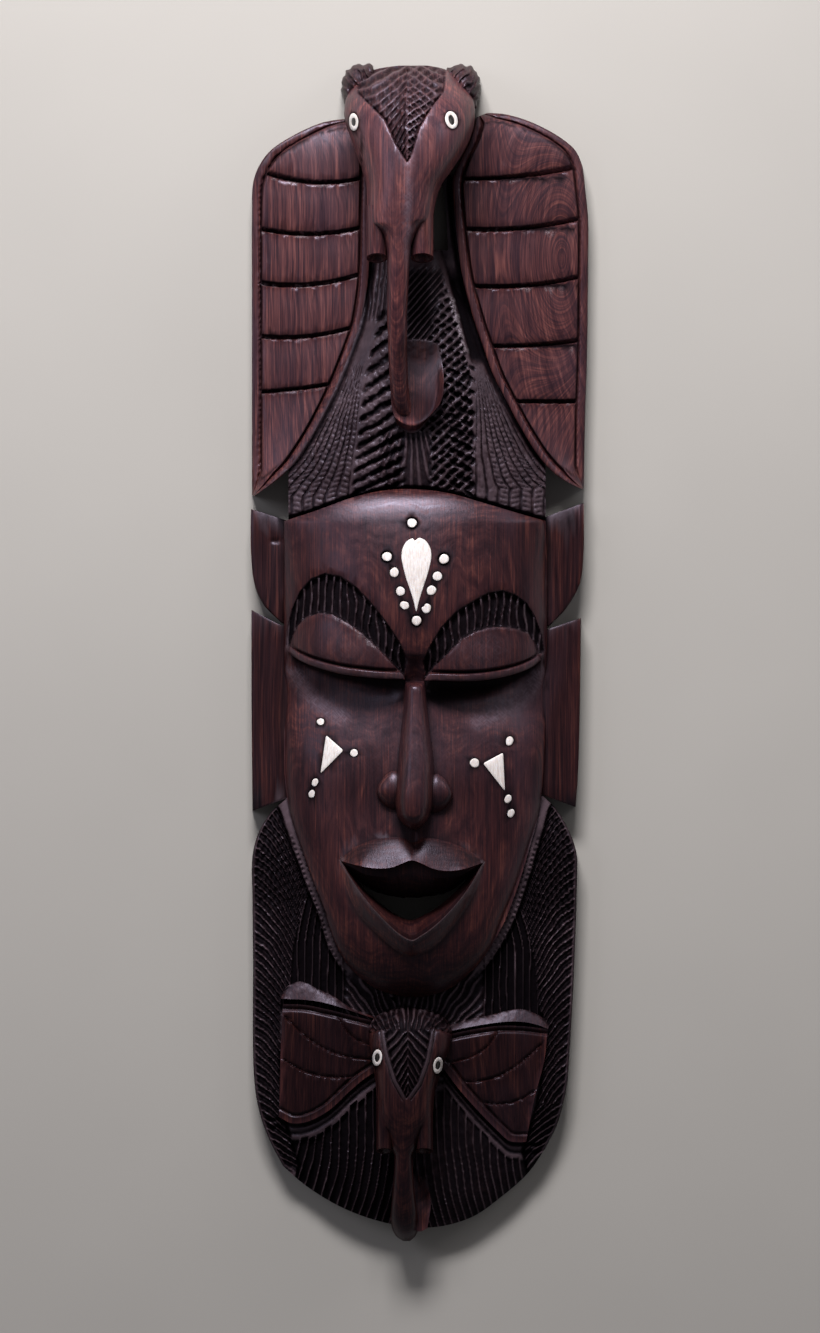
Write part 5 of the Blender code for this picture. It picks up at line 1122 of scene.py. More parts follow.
# ---------------------------------------------------------------- the carving, layer by layer
def carve():
    us, vs = fractions(226), fractions(420)
    flat = coons(FACE_TOP, FACE_RIGHT, FACE_BOTTOM, FACE_LEFT, us, vs)
    body = grid_solid("carving", lift(flat, face_carved(flat[..., 0], flat[..., 1])), -4.0)

    ys = np.arange(168, 532.5, 1.05)
    left = np.interp(ys, [168, 288, 323, 349, 387, 418, 441, 467, 472, 532], [360, 360, 354, 345, 330, 315, 302, 289, 288.5, 288.5])
    right = np.interp(ys, [168, 181, 208, 247, 279, 323, 349, 402, 455, 468, 532],
                      [440, 458, 460, 464, 470, 481, 490, 513, 543, 545.5, 545.5])
    u = fractions(236)
    x = left[:, None] * (1 - u) + right[:, None] * u
    y = np.broadcast_to(ys[:, None], x.shape)
    combine(body, grid_solid("mound", np.stack([x, y, mound_height(x, y) + mound_relief(x, y)], axis=-1), -4.2), "UNION")

    out_o = [0, 0.8, 1.7, 3.2, 4.6, 5.6, 6.6, 7.5, 8.2, 8.9, 9.6, 10.4, 11.4]
    in_o = [0, 0.9, 1.9, 3.4, 5.0, 6.2, 7.2, 8.0, 8.7, 9.3, 9.9, 10.6, 11.6, 13.0]
    rows_o = [-3.8, -3.0, -2.2, -1.4, -0.7, 0, 0.5, 1.0, 1.6, 2.3, 3.4]
    for name, sides, floor, seed, rough in (("ear_left", (EAR_L_OUT, EAR_L_IN, EAR_L_ROWS), -4.4, 81, 0.9),
                                            ("ear_right", (EAR_R_OUT, EAR_R_IN, EAR_R_ROWS), -4.6, 91, 0.6)):
        g = ear_grid(*sides, 17, 31, out_o, in_o, rows_o, 1.5, 1.5, ear_carved(seed, rough))
        combine(body, grid_solid(name, g, floor), "UNION")

    for k, (name, sides) in enumerate(tab_sides().items()):
        g = coons(*sides, fractions(24), fractions(80))
        gx, gy = g[..., 0], g[..., 1]
        z = 22 + 6 * smooth(0, 50, 26 - np.abs(np.abs(gx - 415) - 137))
        uu = fractions(24)[None, :]
        vv = fractions(80)[:, None]
        out = uu if "left" in name else 1 - uu
        z = z - 1.2 * np.clip(1 - out * 30 / 2.0, 0, 1) ** 2 + 0.15 * noise(gx / 7, gy / 20, 101 + k)
        z = z - 0.8 * np.clip(1 - np.minimum(vv, 1 - vv) * 130 / 2.0, 0, 1) ** 2
        if name == "tab_upper_left":
            z = z - 2.2 * np.exp(-((gx - 275.5) / 4.0) ** 2 - ((gy - 541) / 2.6) ** 2)
        combine(body, grid_solid(name, lift(g, z), -4.8 - 0.2 * k), "UNION")

    g = coons(BOARD_TOP, BOARD_RIGHT, BOARD_BOTTOM, BOARD_LEFT, fractions(290), fractions(380))
    combine(body, grid_solid("board", lift(g, board_height(g[..., 0], g[..., 1]) + board_relief(g[..., 0], g[..., 1])), -5.6), "UNION")
    for name, sides, cuts, floor, seed in (("small_ear_left", SMALL_EAR_L, SMALL_EAR_L_CUTS, 8.0, 111),
                                           ("small_ear_right", SMALL_EAR_R, SMALL_EAR_R_CUTS, 8.2, 112)):
        g = small_ear_grid(sides, cuts, fractions(84), fractions(104), 2.0)
        g[..., 2] += 0.08 * noise(g[..., 0] / 5, g[..., 1] / 12, seed)
        combine(body, grid_solid(name, g, floor), "UNION")
    for name, upper, lower, floor in (
            ("facet_left", [(281, 996), (286.5, 987), (300, 981.5), (318, 989), (333, 996), (349, 1006.5), (372, 1015)],
             [(281, 998.5), (290, 999), (301, 999.5), (318, 1001.5), (333, 1005), (350, 1010.5), (374, 1018.5)], 9.0),
            ("facet_right", [(448, 1026), (462, 1021), (490, 1015), (520, 1009), (534, 1013), (544, 1019), (549, 1025)],
             [(446, 1032), (462, 1028.5), (490, 1023.5), (510, 1021.5), (524, 1022), (538, 1025), (548, 1029)], 9.2)):
        g = brow(upper, lower, 60, 14, lambda x, y, u, v: board_height(x, y) - 0.5 + 5.4 * v ** 0.8
                 + 0.5 * (1 - v) * noise(x / 2.2, y / 3, 115))
        combine(body, grid_solid(name, g, floor), "UNION")

    # eyelids, nose and lips
    for name, upper, lower, floor in (("lid_left", BROW_L_IN, LID_L_LOW, 21.0), ("lid_right", BROW_R_IN, LID_R_LOW, 21.3)):
        g = brow(upper, lower, 110, 64, lid_carved)
        combine(body, grid_solid(name, g, floor), "UNION")
    ys = np.concatenate([[676, 680, 682, 682.8, 683.6, 684.5, 685.6], np.arange(687, 820, 1.4), np.arange(820, 830.2, 0.7)])
    a = np.sin(np.linspace(-1, 1, 57) * np.pi / 2)
    left, right, top = prof(BRIDGE_L, ys), prof(BRIDGE_R, ys), prof(BRIDGE_TOP, ys)
    x = (left + right)[:, None] / 2 + (right - left)[:, None] / 2 * a[None]
    g = np.stack([x, np.broadcast_to(ys[:, None], x.shape),
                  62.0 + (top - 62.0)[:, None] * np.clip(1 - np.abs(a[None]) ** 2.6, 0, 1) ** 0.42], axis=-1)
    g[..., 2] += 0.08 * noise(g[..., 0] / 4, g[..., 1] / 12, 121)
    combine(body, grid_solid("nose", g, 30.0), "UNION")
    for name, side, cx, cy in (("wing_left", -1, 395.5, 791.5), ("wing_right", 1, 434.0, 794.5)):
        a = np.linspace(0, 2 * np.pi, 48, endpoint=False)
        rings = []
        for s in np.linspace(-0.97, 0.97, 33):
            r = (1 - abs(s) ** 1.7) ** 0.72 * (1.0 + 0.10 * s)
            rings.append(np.column_stack([cx - side * 2.0 * s - 19.0 * r * np.cos(a), np.full(48, cy + 21.0 * s),
                                          66.5 - 3.0 * s + 10.5 * r * np.sin(a)]))
        combine(body, solid(name, *tube(rings), work), "UNION")
    g = upper_lip_grid(130, 22)
    t = fractions(22)[:, None]
    g[..., 2] += (1 - smooth(0.3, 0.9, t)) * 1.4 * np.exp(-((g[..., 0] - 413.5) / 4.0) ** 2) - 1.3 * np.exp(-((g[..., 0] - 413.2) / 1.5) ** 2) * (1 - t)
    combine(body, grid_solid("lip_upper", g, 40.0), "UNION")
    combine(body, grid_solid("lip_lower", lower_lip_grid(150, 22), 40.4), "UNION")

    # small head with its jaw, trunk and pad
    rings = [fine_ring(SMALL_FINE, y, 150, 50) for y in np.concatenate([[1007, 1008, 1009.2], np.arange(1010.5, 1239, 1.15), [1239, 1240, 1241]])]
    rings = displaced(rings, lambda x, y, z: np.where(z > head_section(SMALL_HEAD, y)[3], crest_small(x, y)[0], 0)
                      + 0.06 * noise(x / 3, y / 9, 131))
    combine(body, solid("small_head", *tube(rings), work), "UNION")
    for name, x0, x1 in (("small_jaw_left", 376.5, 393), ("small_jaw_right", 415.5, 433.0)):
        combine(body, solid(name, *tube(stub_rings(x0, x1, 44, (57, 54), 11, 1100, 1148, 26, 6)), work), "UNION")
    g = coons(*SMALL_PAD, fractions(18), fractions(48))
    combine(body, grid_solid("small_pad", lift(g, 27 + 9 * smooth(1172, 1222, g[..., 1])
                                               - 1.5 * np.sin(np.pi * fractions(18))[None, :]), 9.0), "UNION")

    # tufts behind the large head: scalloped, with deep gouges
    for name, sides, seed, lean in (("tuft_left", TUFT_L, 1, -1), ("tuft_right", TUFT_R, 2, 1)):
        us, vs = fractions(46), fractions(56)
        g = tuft_grid(sides, us, vs, seed)
        gx, gy = g[..., 0].copy(), g[..., 1].copy()
        cx, cy = gx.mean(), gy.mean()
        rim = np.maximum(np.abs(2 * us[None, :] - 1), np.abs(2 * vs[:, None] - 1)) ** 4
        th = np.arctan2(gy - cy, gx - cx)
        wave = 0.035 * np.sin(th * 11 + seed) + 0.025 * np.sin(th * 17 + 2 * seed) - 0.03
        g[..., 0] = cx + (gx - cx) * (1 + rim * wave)
        g[..., 1] = cy + (gy - cy) * (1 + rim * wave)
        p = (gx * 0.75 + lean * gy * 0.55) / 6.2 + 0.4 * noise(gx / 8, gy / 8, 141 + seed)
        g[..., 2] += -3.0 * gouge(p, 0.12, 0.4) * (0.4 + 0.6 * (1 - rim)) + 0.8 * noise(gx / 3, gy / 3, 144)
        combine(body, grid_solid(name, g, -6.0 - 0.2 * seed), "UNION")

    g = pad_grid(fractions(60), fractions(110))
    g[..., 2] += 0.05 * noise(g[..., 0] / 4, g[..., 1] / 8, 151)
    combine(body, grid_solid("pad", g, 20.0), "UNION")
    rings = [fine_ring(BIG_FINE, y, 190, 60) for y in
             np.concatenate([[65.5, 65.9, 66.5, 67.2, 68.1], np.arange(69.2, 428, 1.2), [428, 429.4, 430.6, 431.4, 432]])]
    rings = displaced(rings, lambda x, y, z: np.where((z > head_section(BIG_HEAD, y)[3]) & (y < 170), crest_big(x, y)[0], 0)
                      + 0.10 * noise(x / 4, y / 14, 152))
    combine(body, solid("big_head", *tube(rings), work), "UNION")
    for name, x0, x1 in (("jaw_left", 366.5, 387.5), ("jaw_right", 411, 433.5)):
        combine(body, solid(name, *tube(stub_rings(x0, x1, 56, (92, 88), 13, 205, 253, 28, 10)), work), "UNION")

    # flat back, hollow, mouth and holes
    g = coons([(200, 20), (640, 20)], [(640, 20), (640, 1300)], [(200, 1300), (640, 1300)], [(200, 20), (200, 1300)],
              fractions(1), fractions(1))
    combine(body, grid_solid("back", lift(g, np.zeros(g.shape[:2])), -20.0), "DIFFERENCE")
    us, vs = fractions(70), fractions(110)
    g = coons(HOLLOW_TOP, HOLLOW_RIGHT, HOLLOW_BOTTOM, HOLLOW_LEFT, us, vs)
    hx, hy = g[..., 0], g[..., 1]
    scoop = pits(hx / 13 + 0.3 * noise(hx / 30, hy / 30, 161), hy / 21, 0.62, 0.62, 162, 0.18)
    combine(body, grid_solid("hollow", lift(g, hollow_height(hx, hy, us, vs) + 1.1 * scoop - 1.0), -6.0), "DIFFERENCE")
    rings = mouth_rings(90)
    combine(body, solid("mouth", *tube(rings), work), "DIFFERENCE")
    for name, pts in (("side_hole", [(437, 186), (443.5, 186), (446.5, 215), (448, 250), (434, 250), (433.5, 218)]),
                      ("chin_hole", [(389.5, 997), (395.8, 997), (396.4, 1004.5)])):
        combine(body, solid(name, *tube([[(x, y, 75.0) for x, y in pts], [(x, y, -7.0) for x, y in pts]]), work), "DIFFERENCE")
    return body


# ---------------------------------------------------------------- inlays and the pockets they sit in
def hand_cut(outline, seed, amount=0.05):
    """outline with the small unevenness of a hand-cut edge"""
    o = np.asarray(outline, float)
    c = o.mean(axis=0)
    th = np.arctan2(o[:, 1] - c[1], o[:, 0] - c[0])
    k = 1 + amount * (0.6 * np.sin(2 * th + seed) + 0.5 * np.sin(3 * th + 2.3 * seed) + 0.35 * np.sin(5 * th + 1.7 * seed))
    return c + (o - c) * k[:, None]


def rounded(corners, r, n=7):
    """polygon with its corners rounded over the length r, its sides kept straight"""
    p = np.asarray(corners, float)
    out = []
    for k in range(len(p)):
        a, b, c = p[k - 1], p[k], p[(k + 1) % len(p)]
        s, e = b + (a - b) / np.linalg.norm(a - b) * r, b + (c - b) / np.linalg.norm(c - b) * r
        for t in np.linspace(0, 1, n):
            out.append((1 - t) ** 2 * s + 2 * t * (1 - t) * b + t * t * e)
        out.append(e + (c + (b - c) / np.linalg.norm(b - c) * r - e) * 0.5)
    return np.array(out)


def button(outline, surface, steps, down):
    """plate that follows a surface; steps are (scale, height) from its edge inwards"""
    o = np.asarray(outline, float)
    c = o.mean(axis=0)
    rings = []
    for f, h in steps[::-1]:
        p = c + (o - c) * f
        rings.append(np.column_stack([p, surface(p[:, 0], p[:, 1]) + h]))
    rings.append(np.column_stack([o, surface(o[:, 0], o[:, 1]) - down]))
    return tube(rings)


def loops_solid(loops):
    """closed ring through loops of equal counts"""
    m, n = len(loops), len(loops[0])
    faces = [(i * n + j, i * n + (j + 1) % n, ((i + 1) % m) * n + (j + 1) % n, ((i + 1) % m) * n + j)
             for i in range(m) for j in range(n)]
    return np.vstack(loops), faces


def merged(name, meshes):
    verts, faces, base = [], [], 0
    for v, f in meshes:
        verts.append(np.asarray(v, float))
        faces += [tuple(base + k for k in q) for q in f]
        base += len(v)
    return solid(name, np.vstack(verts), faces, work)


DEPTH = 3.2
SOFT_EDGE = [(1.0, -0.25), (0.965, 0.18), (0.90, 0.38), (0.60, 0.46), (0.25, 0.48)]
inlays = []             # new piece, node it stands for, mesh, material
beds, pockets = [], []
rims = []               # outlines that show a dark joint round them, and how wide
for side, dots, seed in (("forehead_dot_%02d", FOREHEAD_DOTS, 1), ("cheek_dot_left_%d", CHEEK_DOTS_L, 21),
                         ("cheek_dot_right_%d", CHEEK_DOTS_R, 31)):
    for k, (cx, cy, rx, ry, bed) in enumerate(dots):
        o = hand_cut(oval(cx, cy, rx, ry, 40, 0.4), seed + k)
        if (side, k) == ("forehead_dot_%02d", 9):       # a chip is gone from the edge of this one
            chip = np.clip(1 - np.hypot(o[:, 0] - 423.2, o[:, 1] - 605.2) / 2.6, 0, 1)
            o = o + (np.array([cx, cy]) - o) * (0.32 * chip)[:, None]
        if bed:
            beds.append(plate(offset(oval(cx, cy, rx, ry, 40, 0.13), BED), face_height, 7.0, 1.2))
        rims.append((o, BED + 0.7 if bed else 0.8))
        pockets.append(plate(offset(o, GAP), face_height, 7.0, DEPTH + 0.35))
        inlays.append((side % (k + 1), button(o, face_height, SOFT_EDGE, DEPTH), "bone"))
o = hand_cut(drop_outline(34), 41, 0.012)
o = np.concatenate([o + (np.roll(o, -1, axis=0) - o) * k for k in (0, 0.25, 0.5, 0.75)], axis=1).reshape(-1, 2)
o[:, 1] += 3.0 * np.exp(-((o[:, 0] - 415.2) / 1.7) ** 2) * (o[:, 1] < 545)      # small notch at its top
pockets.append(plate(offset(o, GAP), face_height, 7.0, DEPTH + 0.35))
inlays.append(("forehead_teardrop", button(o, face_height, SOFT_EDGE, DEPTH), "bone"))
for name, corners in (("cheek_triangle_left", TRIANGLE_L), ("cheek_triangle_right", TRIANGLE_R)):
    o = rounded(corners, 2.6)
    rims.append((o, 0.6))
    pockets.append(plate(offset(o, GAP), face_height, 7.0, DEPTH + 0.35))
    inlays.append((name, button(o, face_height, SOFT_EDGE, DEPTH), "bone"))
for name, (cx, cy, rx, ry, px, py, turn, head) in EYES.items():
    surface = lambda x, y, head=head: head_height(head, x, y)
    o = hand_cut(oval(cx, cy, rx, ry, 48, turn), 51 + len(name), 0.02)
    pockets.append(plate(offset(o, GAP), surface, 7.0, DEPTH + 1.3))
    rims.append((o, 0.7))

    def loop(rx2, ry2, h, share):
        e = oval(cx, cy, rx2, ry2, 48, turn)
        p = o * share + e * (1 - share)
        return np.column_stack([p, surface(p[:, 0], p[:, 1]) + h])
    inlays.append(("eye_ring_" + name, loops_solid([
        loop(px, py, -DEPTH, 1), loop(px, py, 0.25, 1), loop(px + 0.3, py + 0.3, 0.75, 0.88), loop(px + 0.3, py + 0.3, 0.9, 0.45),
        loop(px + 0.3, py + 0.3, 0.65, 0.08), loop(px + 0.3, py + 0.3, 0.4, 0), loop(px + 0.3, py + 0.3, -DEPTH, 0)]), "bone"))
    inlays.append(("eye_pupil_" + name, button(oval(cx, cy, px - 0.1, py - 0.1, 32, turn), surface,
                                               [(1.0, 0.1), (0.9, 0.5), (0.5, 0.75)], DEPTH), "pupil"))

body = carve()
combine(body, merged("beds", beds), "DIFFERENCE")
combine(body, merged("pockets", pockets), "DIFFERENCE")


# ---------------------------------------------------------------- fewer triangles, keeping the fine relief
def settle(ob, count):
    me = ob.data
    me.calc_loop_triangles()
    have = len(me.loop_triangles)
    tri = ob.modifiers.new("triangles", "TRIANGULATE")
    dec = ob.modifiers.new("fewer", "DECIMATE")
    dec.ratio = min(1.0, count / have)
    bpy.context.view_layer.update()
    new = bpy.data.meshes.new_from_object(ob.evaluated_get(bpy.context.evaluated_depsgraph_get()))
    ob.modifiers.clear()
    ob.data = new
    bpy.data.meshes.remove(me)
    bm = bmesh.new()
    bm.from_mesh(new)
    fins = [f for f in bm.faces if len(f.edges) == 3 and max(len(e.link_faces) for e in f.edges) > 2
            and sum(len(e.link_faces) == 1 for e in f.edges) == 2]
    bmesh.ops.delete(bm, geom=fins, context="FACES")
    bm.to_mesh(new)
    bm.free()


def shade(ob, angle):
    me = ob.data
    bm = bmesh.new()
    bm.from_mesh(me)
    limit = math.radians(angle)
    for f in bm.faces:
        f.smooth = True
    for e in bm.edges:
        if len(e.link_faces) == 2 and e.calc_face_angle(0.0) > limit:
            e.smooth = False
    bm.to_mesh(me)
    bm.free()


def cavity(me, passes):
    """how far a smoothed surface lies above (+) or below (-) each point, in millimetres"""
    n = len(me.vertices)
    co = np.empty(n * 3, np.float32)
    me.vertices.foreach_get("co", co)
    co = co.reshape(-1, 3).astype(float)
    no = np.empty(n * 3, np.float32)
    me.vertices.foreach_get("normal", no)
    no = no.reshape(-1, 3)
    e = np.empty(len(me.edges) * 2, np.int32)
    me.edges.foreach_get("vertices", e)
    e = e.reshape(-1, 2)
    a, b = np.concatenate([e[:, 0], e[:, 1]]), np.concatenate([e[:, 1], e[:, 0]])
    w = 1.0 / np.maximum(np.linalg.norm(co[a] - co[b], axis=1), 1e-4)
    total = np.bincount(a, w, n)
    s, out, done = co.copy(), [], 0
    for p in passes:
        for _ in range(p - done):
            s = 0.35 * s + 0.65 * np.stack([np.bincount(a, w * s[b, k], n) for k in range(3)], axis=1) / total[:, None]
        done = p
        out.append(np.sum((s - co) * no, axis=1) * 1000)
    return co, no, out


def attribute(me, name, values):
    at = me.attributes.new(name, "FLOAT", "POINT")
    at.data.foreach_set("value", np.asarray(values, np.float32))


body.name = body.data.name = "mask_wood"
settle(body, 196500)
shade(body, 48)
co, no, (near, wide) = cavity(body.data, (5, 22))
dr = to_drawing(co)
gx, gy, gz = dr[:, 0], dr[:, 1], dr[:, 2]
front = smooth(-0.65, -0.15, no[:, 2])
in_face = inside(FACE_EDGE, gx, gy)
in_ear_l = inside(np.vstack([EAR_L_OUT, EAR_L_IN[::-1]]), gx, gy)
in_ear_r = inside(np.vstack([EAR_R_OUT, EAR_R_IN[::-1]]), gx, gy)
in_small_l = inside(np.vstack([SMALL_EAR_L[0], SMALL_EAR_L[1][1:], SMALL_EAR_L[2][::-1], SMALL_EAR_L[3][::-1]]), gx, gy)
in_small_r = inside(np.vstack([SMALL_EAR_R[0], SMALL_EAR_R[1][1:], SMALL_EAR_R[2][::-1], SMALL_EAR_R[3][::-1]]), gx, gy)
hl, hr, ht, hw, hu = head_section(BIG_FINE, np.clip(gy, 65.5, 432))
on_big = smooth(-1, 1, np.minimum(gx - hl, hr - gx)) * (gy < 434) * smooth(-6, -2, gz - hw + 6)
hl, hr, ht, hw, hu = head_section(SMALL_FINE, np.clip(gy, 1007, 1241))
on_small = smooth(-1, 1, np.minimum(gx - hl, hr - gx)) * (gy > 1005) * smooth(-4, 0, gz - hw + 8)
stubs = np.maximum((gx > 365) & (gx < 436) & (gy > 204) & (gy < 268) & (gz > 72),
                   (gx > 375) & (gx < 435) & (gy > 1098) & (gy < 1158) & (gz > 41)).astype(float)
pads = np.maximum(inside(PAD_OUTLINE, gx, gy) * (gz > 47),
                  inside(np.vstack([SMALL_PAD[0], SMALL_PAD[1], SMALL_PAD[2][::-1], SMALL_PAD[3][::-1]]), gx, gy) * (gz > 22))
plain_part = np.clip(np.maximum(stubs, smooth(0.2, 1.5, pads)), 0, 1)
brows = np.maximum(inside(BROW_L_POLY, gx, gy), inside(BROW_R_POLY, gx, gy))
mound_zone = (gy > 160) & (gy < 530) & (in_face < 0.5) & (in_ear_l < 1) & (in_ear_r < 1) & (gx > 262) & (gx < 575)
board_zone = (gy > 796) & (in_face < 0.5) & (in_small_l < 1) & (in_small_r < 1)
mound_cut, board_cut = mound_relief(gx, gy), board_relief(gx, gy)
on_mound = mound_zone & (gz < mound_height(gx, gy) + mound_cut + 3.0)
on_board = board_zone & (gz < board_height(gx, gy) + board_cut + 3.0)
facets = board_zone & ~on_board & (gy > 978) & (gy < 1034) & ((gx < 366) | (gx > 452))
big_depth, big_d = crest_big(gx, np.clip(gy, 40, 170))
small_depth, small_d = crest_small(gx, gy)
big_top = on_big * (gy < 166) * smooth(-1.0, 0.5, big_d)
small_top = on_small * (gy < 1103) * np.maximum(smooth(-5.5, -4.0, small_d), 1 - smooth(1026, 1034, gy))
tufts = (gy < 112) & (gy > 55) & (on_big < 0.5) & (gx > 338) & (gx < 484)
tex = np.where(on_mound | on_board, 1.0, 0.0)
tex = np.maximum(tex, smooth(-0.5, 0.8, brows))
tex = np.maximum(tex, 0.75 * facets)
tex = np.maximum(np.maximum(tex, 0.70 * big_top), np.maximum(0.9 * small_top, 0.55 * tufts))
tex = tex * front * (gz > 3) * (1 - plain_part)

low = np.full(len(gx), 0.75)        # depth of the carving at each point, in millimetres
low = np.where(on_mound, -mound_cut, low)
low = np.where(on_board, -board_cut, low)
for poly, seed in ((BROW_L_POLY, 51), (BROW_R_POLY, 52)):
    low = np.where(inside(poly, gx, gy) > 0.5, 0.1 + 2.1 * gouge(brow_rows(gx, gy, seed), 0.13, 0.30), low)
low = np.where(big_top > 0.5, -1.3 * big_depth, low)
low = np.where(small_top > 0.5, -1.2 * small_depth, low)
# ridges of the textured parts painted lighter, partly wear and partly painted highlight
worn = (1 - smooth(-0.1, 0.9, low)) * tex
# painted shade: near-black in the deep cuts of the textured parts and in creases; this attribute also carries the dark
# joints round the inlays
dark = smooth(0.9, 2.4, low) * tex
dark = np.maximum(dark, 0.55 * smooth(0.25, 0.9, near))
# painted shadow under the eyelids, deepest beside the nose
for low_edge, a, b, reach in ((LID_L_LOW, 300, 400, 13), (LID_R_LOW, 540, 440, 30)):
    d = gy - curve_y(low_edge, gx)
    share = np.clip((gx - a) / (b - a), 0, 1)
    zone = (in_face > 2) & (np.abs(gx - (a + b) / 2) < abs(b - a) / 2 + 12) & ((gx - 415) * (a - 415) > 0) & (gz < face_blank(gx, gy) - 2.5)
    dark = np.maximum(dark, 0.92 * zone * smooth(-2.5, -0.5, d) * (1 - smooth(0.45, 1.0, d / (3.5 + reach * share))))
# painted shade in the dip at the root of the nose, between the lids
dark = np.maximum(dark, 0.5 * np.exp(-((gx - 415) / 9.0) ** 2) * band(652, 683, gy, 4) * (gz < 76))


def rows_of(rows):
    """the cross cuts of an ear as curves"""
    out = []
    for a, b, sag in rows[1:-1]:
        u = fractions(24)
        a, b = np.array(a, float), np.array(b, float)
        p = a + (b - a) * u[:, None]
        p[:, 1] += sag * 4 * u * (1 - u)
        out.append(p)
    return out


# painted shade in the ears' cross cuts and rim grooves; light flecks on the lower lips of the cuts, partly chipped
# edges and partly painted highlight
chip = np.zeros(len(gx))
for rows, zone, seed, some in ((rows_of(EAR_L_ROWS), in_ear_l, 171, 0.50), (rows_of(EAR_R_ROWS), in_ear_r, 172, 0.66)):
    ragged = 0.7 * noise(gx / 2.6, gy / 9, seed + 3)
    for k, c in enumerate(rows):
        t = gy - np.interp(gx, c[:, 0], c[:, 1])
        on = smooth(9.0, 10.5, zone)
        dark = np.maximum(dark, on * band(-3.1 + ragged, 0.9, t, 0.7))
        strength = smooth(some, some + 0.2, hashed(np.floor(gx / 3.0 + 0.5 * noise(gx / 5, gy / 5, seed)), k, seed))
        chip = np.maximum(chip, on * band(1.3, 2.5, t, 0.6) * strength * (0.75 if k < 3 else 0.4))
    dark = np.maximum(dark, 0.85 * band(8.3, 10.3, zone, 0.6) * (gy < 492))
# light flecks along the top of the left lid and on the nicked ridge of the mound, partly chipped edges and partly
# painted highlight
lid_d = inside(np.vstack([BROW_L_IN, LID_L_LOW[::-1]]), gx, gy)
chip = np.maximum(chip, 0.7 * band(0.3, 1.9, lid_d, 0.6) * band(333, 380, gx, 5) * (gy < 648)
                  * smooth(0.35, 0.6, hashed(np.floor(gx / 2.2), np.floor(gy / 2.2), 173)))
chip = np.maximum(chip, 0.55 * (on_mound & (low < -0.6)) * band(436, 470, gx, 3) * band(296, 352, gy, 3))
for o, width in rims:
    reach = inside(o, gx, gy)
    dark = np.maximum(dark, band(-width, 0.6, reach, 0.45) * (gy > 40))
# mouth: painted shade inside; a painted highlight along the edge of the lower lip, with flecks, and a fainter one along
# its outer line
rim = np.vstack([dense(MOUTH_EDGE_UP), dense(MOUTH_EDGE_LOW)[::-1][1:-1]])
in_mouth = inside(rim, gx, gy)
upper = smooth(-3, 3, polyline_distance([(340, 868), (372, 893), (412, 903), (450, 893), (484, 868)], gx, gy))
dark = np.maximum(dark, smooth(1.0, 4.0, in_mouth) * (gz > 3) * (0.90 - 0.55 * upper)
                  * (1 - 0.75 * np.exp(-((gx - 413) / 30.0) ** 2 - ((gy - 871) / 12.0) ** 2)))
edge_low, _ = strip_coords(MOUTH_EDGE_LOW, gx, gy)
worn = np.maximum(worn, 0.35 * (1 - smooth(0.8, 1.7, edge_low)) * (gz > lip_crest(gx, gy) - 3))
chip = np.maximum(chip, 0.22 * (1 - smooth(0.8, 1.6, edge_low)) * (gz > lip_crest(gx, gy) - 2.5))
out_low, _ = strip_coords(LIP_LOW_OUT, gx, gy)
worn = np.maximum(worn, 0.30 * (1 - smooth(0.6, 1.5, out_low)) * (in_face > 2) * (gy > 868))
# eyelid rims painted lighter, partly wear and partly painted highlight; painted shade in the groove above each rim
for low_edge in (LID_L_LOW, LID_R_LOW):
    up = curve_y(low_edge, gx) - gy
    side = (gx < 415) if low_edge is LID_L_LOW else (gx > 415)
    on = side * (brows < 0.5) * (gz > face_blank(gx, gy) - 1.5) * (in_face > 1)
    worn = np.maximum(worn, 0.38 * on * band(0.6, 6.6, up, 0.9))
    dark = np.maximum(dark, 0.9 * on * band(7.6, 10.2, up, 0.8) * smooth(0, 12, np.minimum(gx - 287, 543 - gx)))
big_part = np.maximum(on_big, stubs * (gy < 600))
small_part = np.maximum(on_small, stubs * (gy > 600))
small_ears = np.maximum(smooth(0, 3, in_small_l), smooth(0, 3, in_small_r))
warm = np.clip(smooth(0, 4, in_ear_l) + smooth(0, 4, in_ear_r) + 0.20 * small_ears + 0.55 * big_part + 0.40 * small_part, 0, 1)
# how light the wood is, set region by region: brown on the large head, darker towards the chin, nearly black on the
# small elephant; two lines below paint light and shade
nose_part = smooth(0, 3, inside(np.vstack([BRIDGE_L, BRIDGE_R[::-1]]), gx, gy)) * (gz > 74)
tone = np.full(len(gx), 0.98)
tone = tone - 0.42 * smooth(890, 985, gy) * smooth(0, 3, in_face)
tone = tone + 0.62 * nose_part
# painted light: the outer slope of the lower lip, turned from the light, painted lighter
below_mouth = inside(np.vstack([MOUTH_EDGE_LOW, LIP_LOW_OUT[::-1]]), gx, gy)
tone = tone + 0.25 * smooth(0.3, 2.0, below_mouth)
tone = tone - 0.42 * smooth(0, 3, inside(np.vstack([LIP_UP_TOP, MOUTH_EDGE_UP[::-1]]), gx, gy))
tone = np.where(on_board, 0.62 - 0.2 * smooth(425, 445, gx) * smooth(1085, 1110, gy), tone)
tone = np.where(on_mound, 0.85 - 0.15 * smooth(400, 430, gx), tone)
tone = np.where((np.abs(gx - 415) > 131) & (gy > 508) & (gy < 802) & (in_face < 0.5), 0.62, tone)
tone = np.where(pads > 0.5, np.where(gy < 600, 0.72, 0.55), tone)
# painted shade at the top of the pad, under the trunk
dark = np.maximum(dark, 0.6 * (pads > 0.2) * (gy < 600) * (1 - smooth(345, 380, gy)))
tone = tone * (1 - small_ears) + 0.36 * small_ears
tone = tone * (1 - small_part) + 0.46 * small_part
tone = tone * (1 - big_part) + 1.62 * big_part
# painted shade: faces turned downwards are made darker
tone = tone * (1 - 0.45 * (1 - front))
steep = 1 - smooth(0.25, 0.72, no[:, 2])
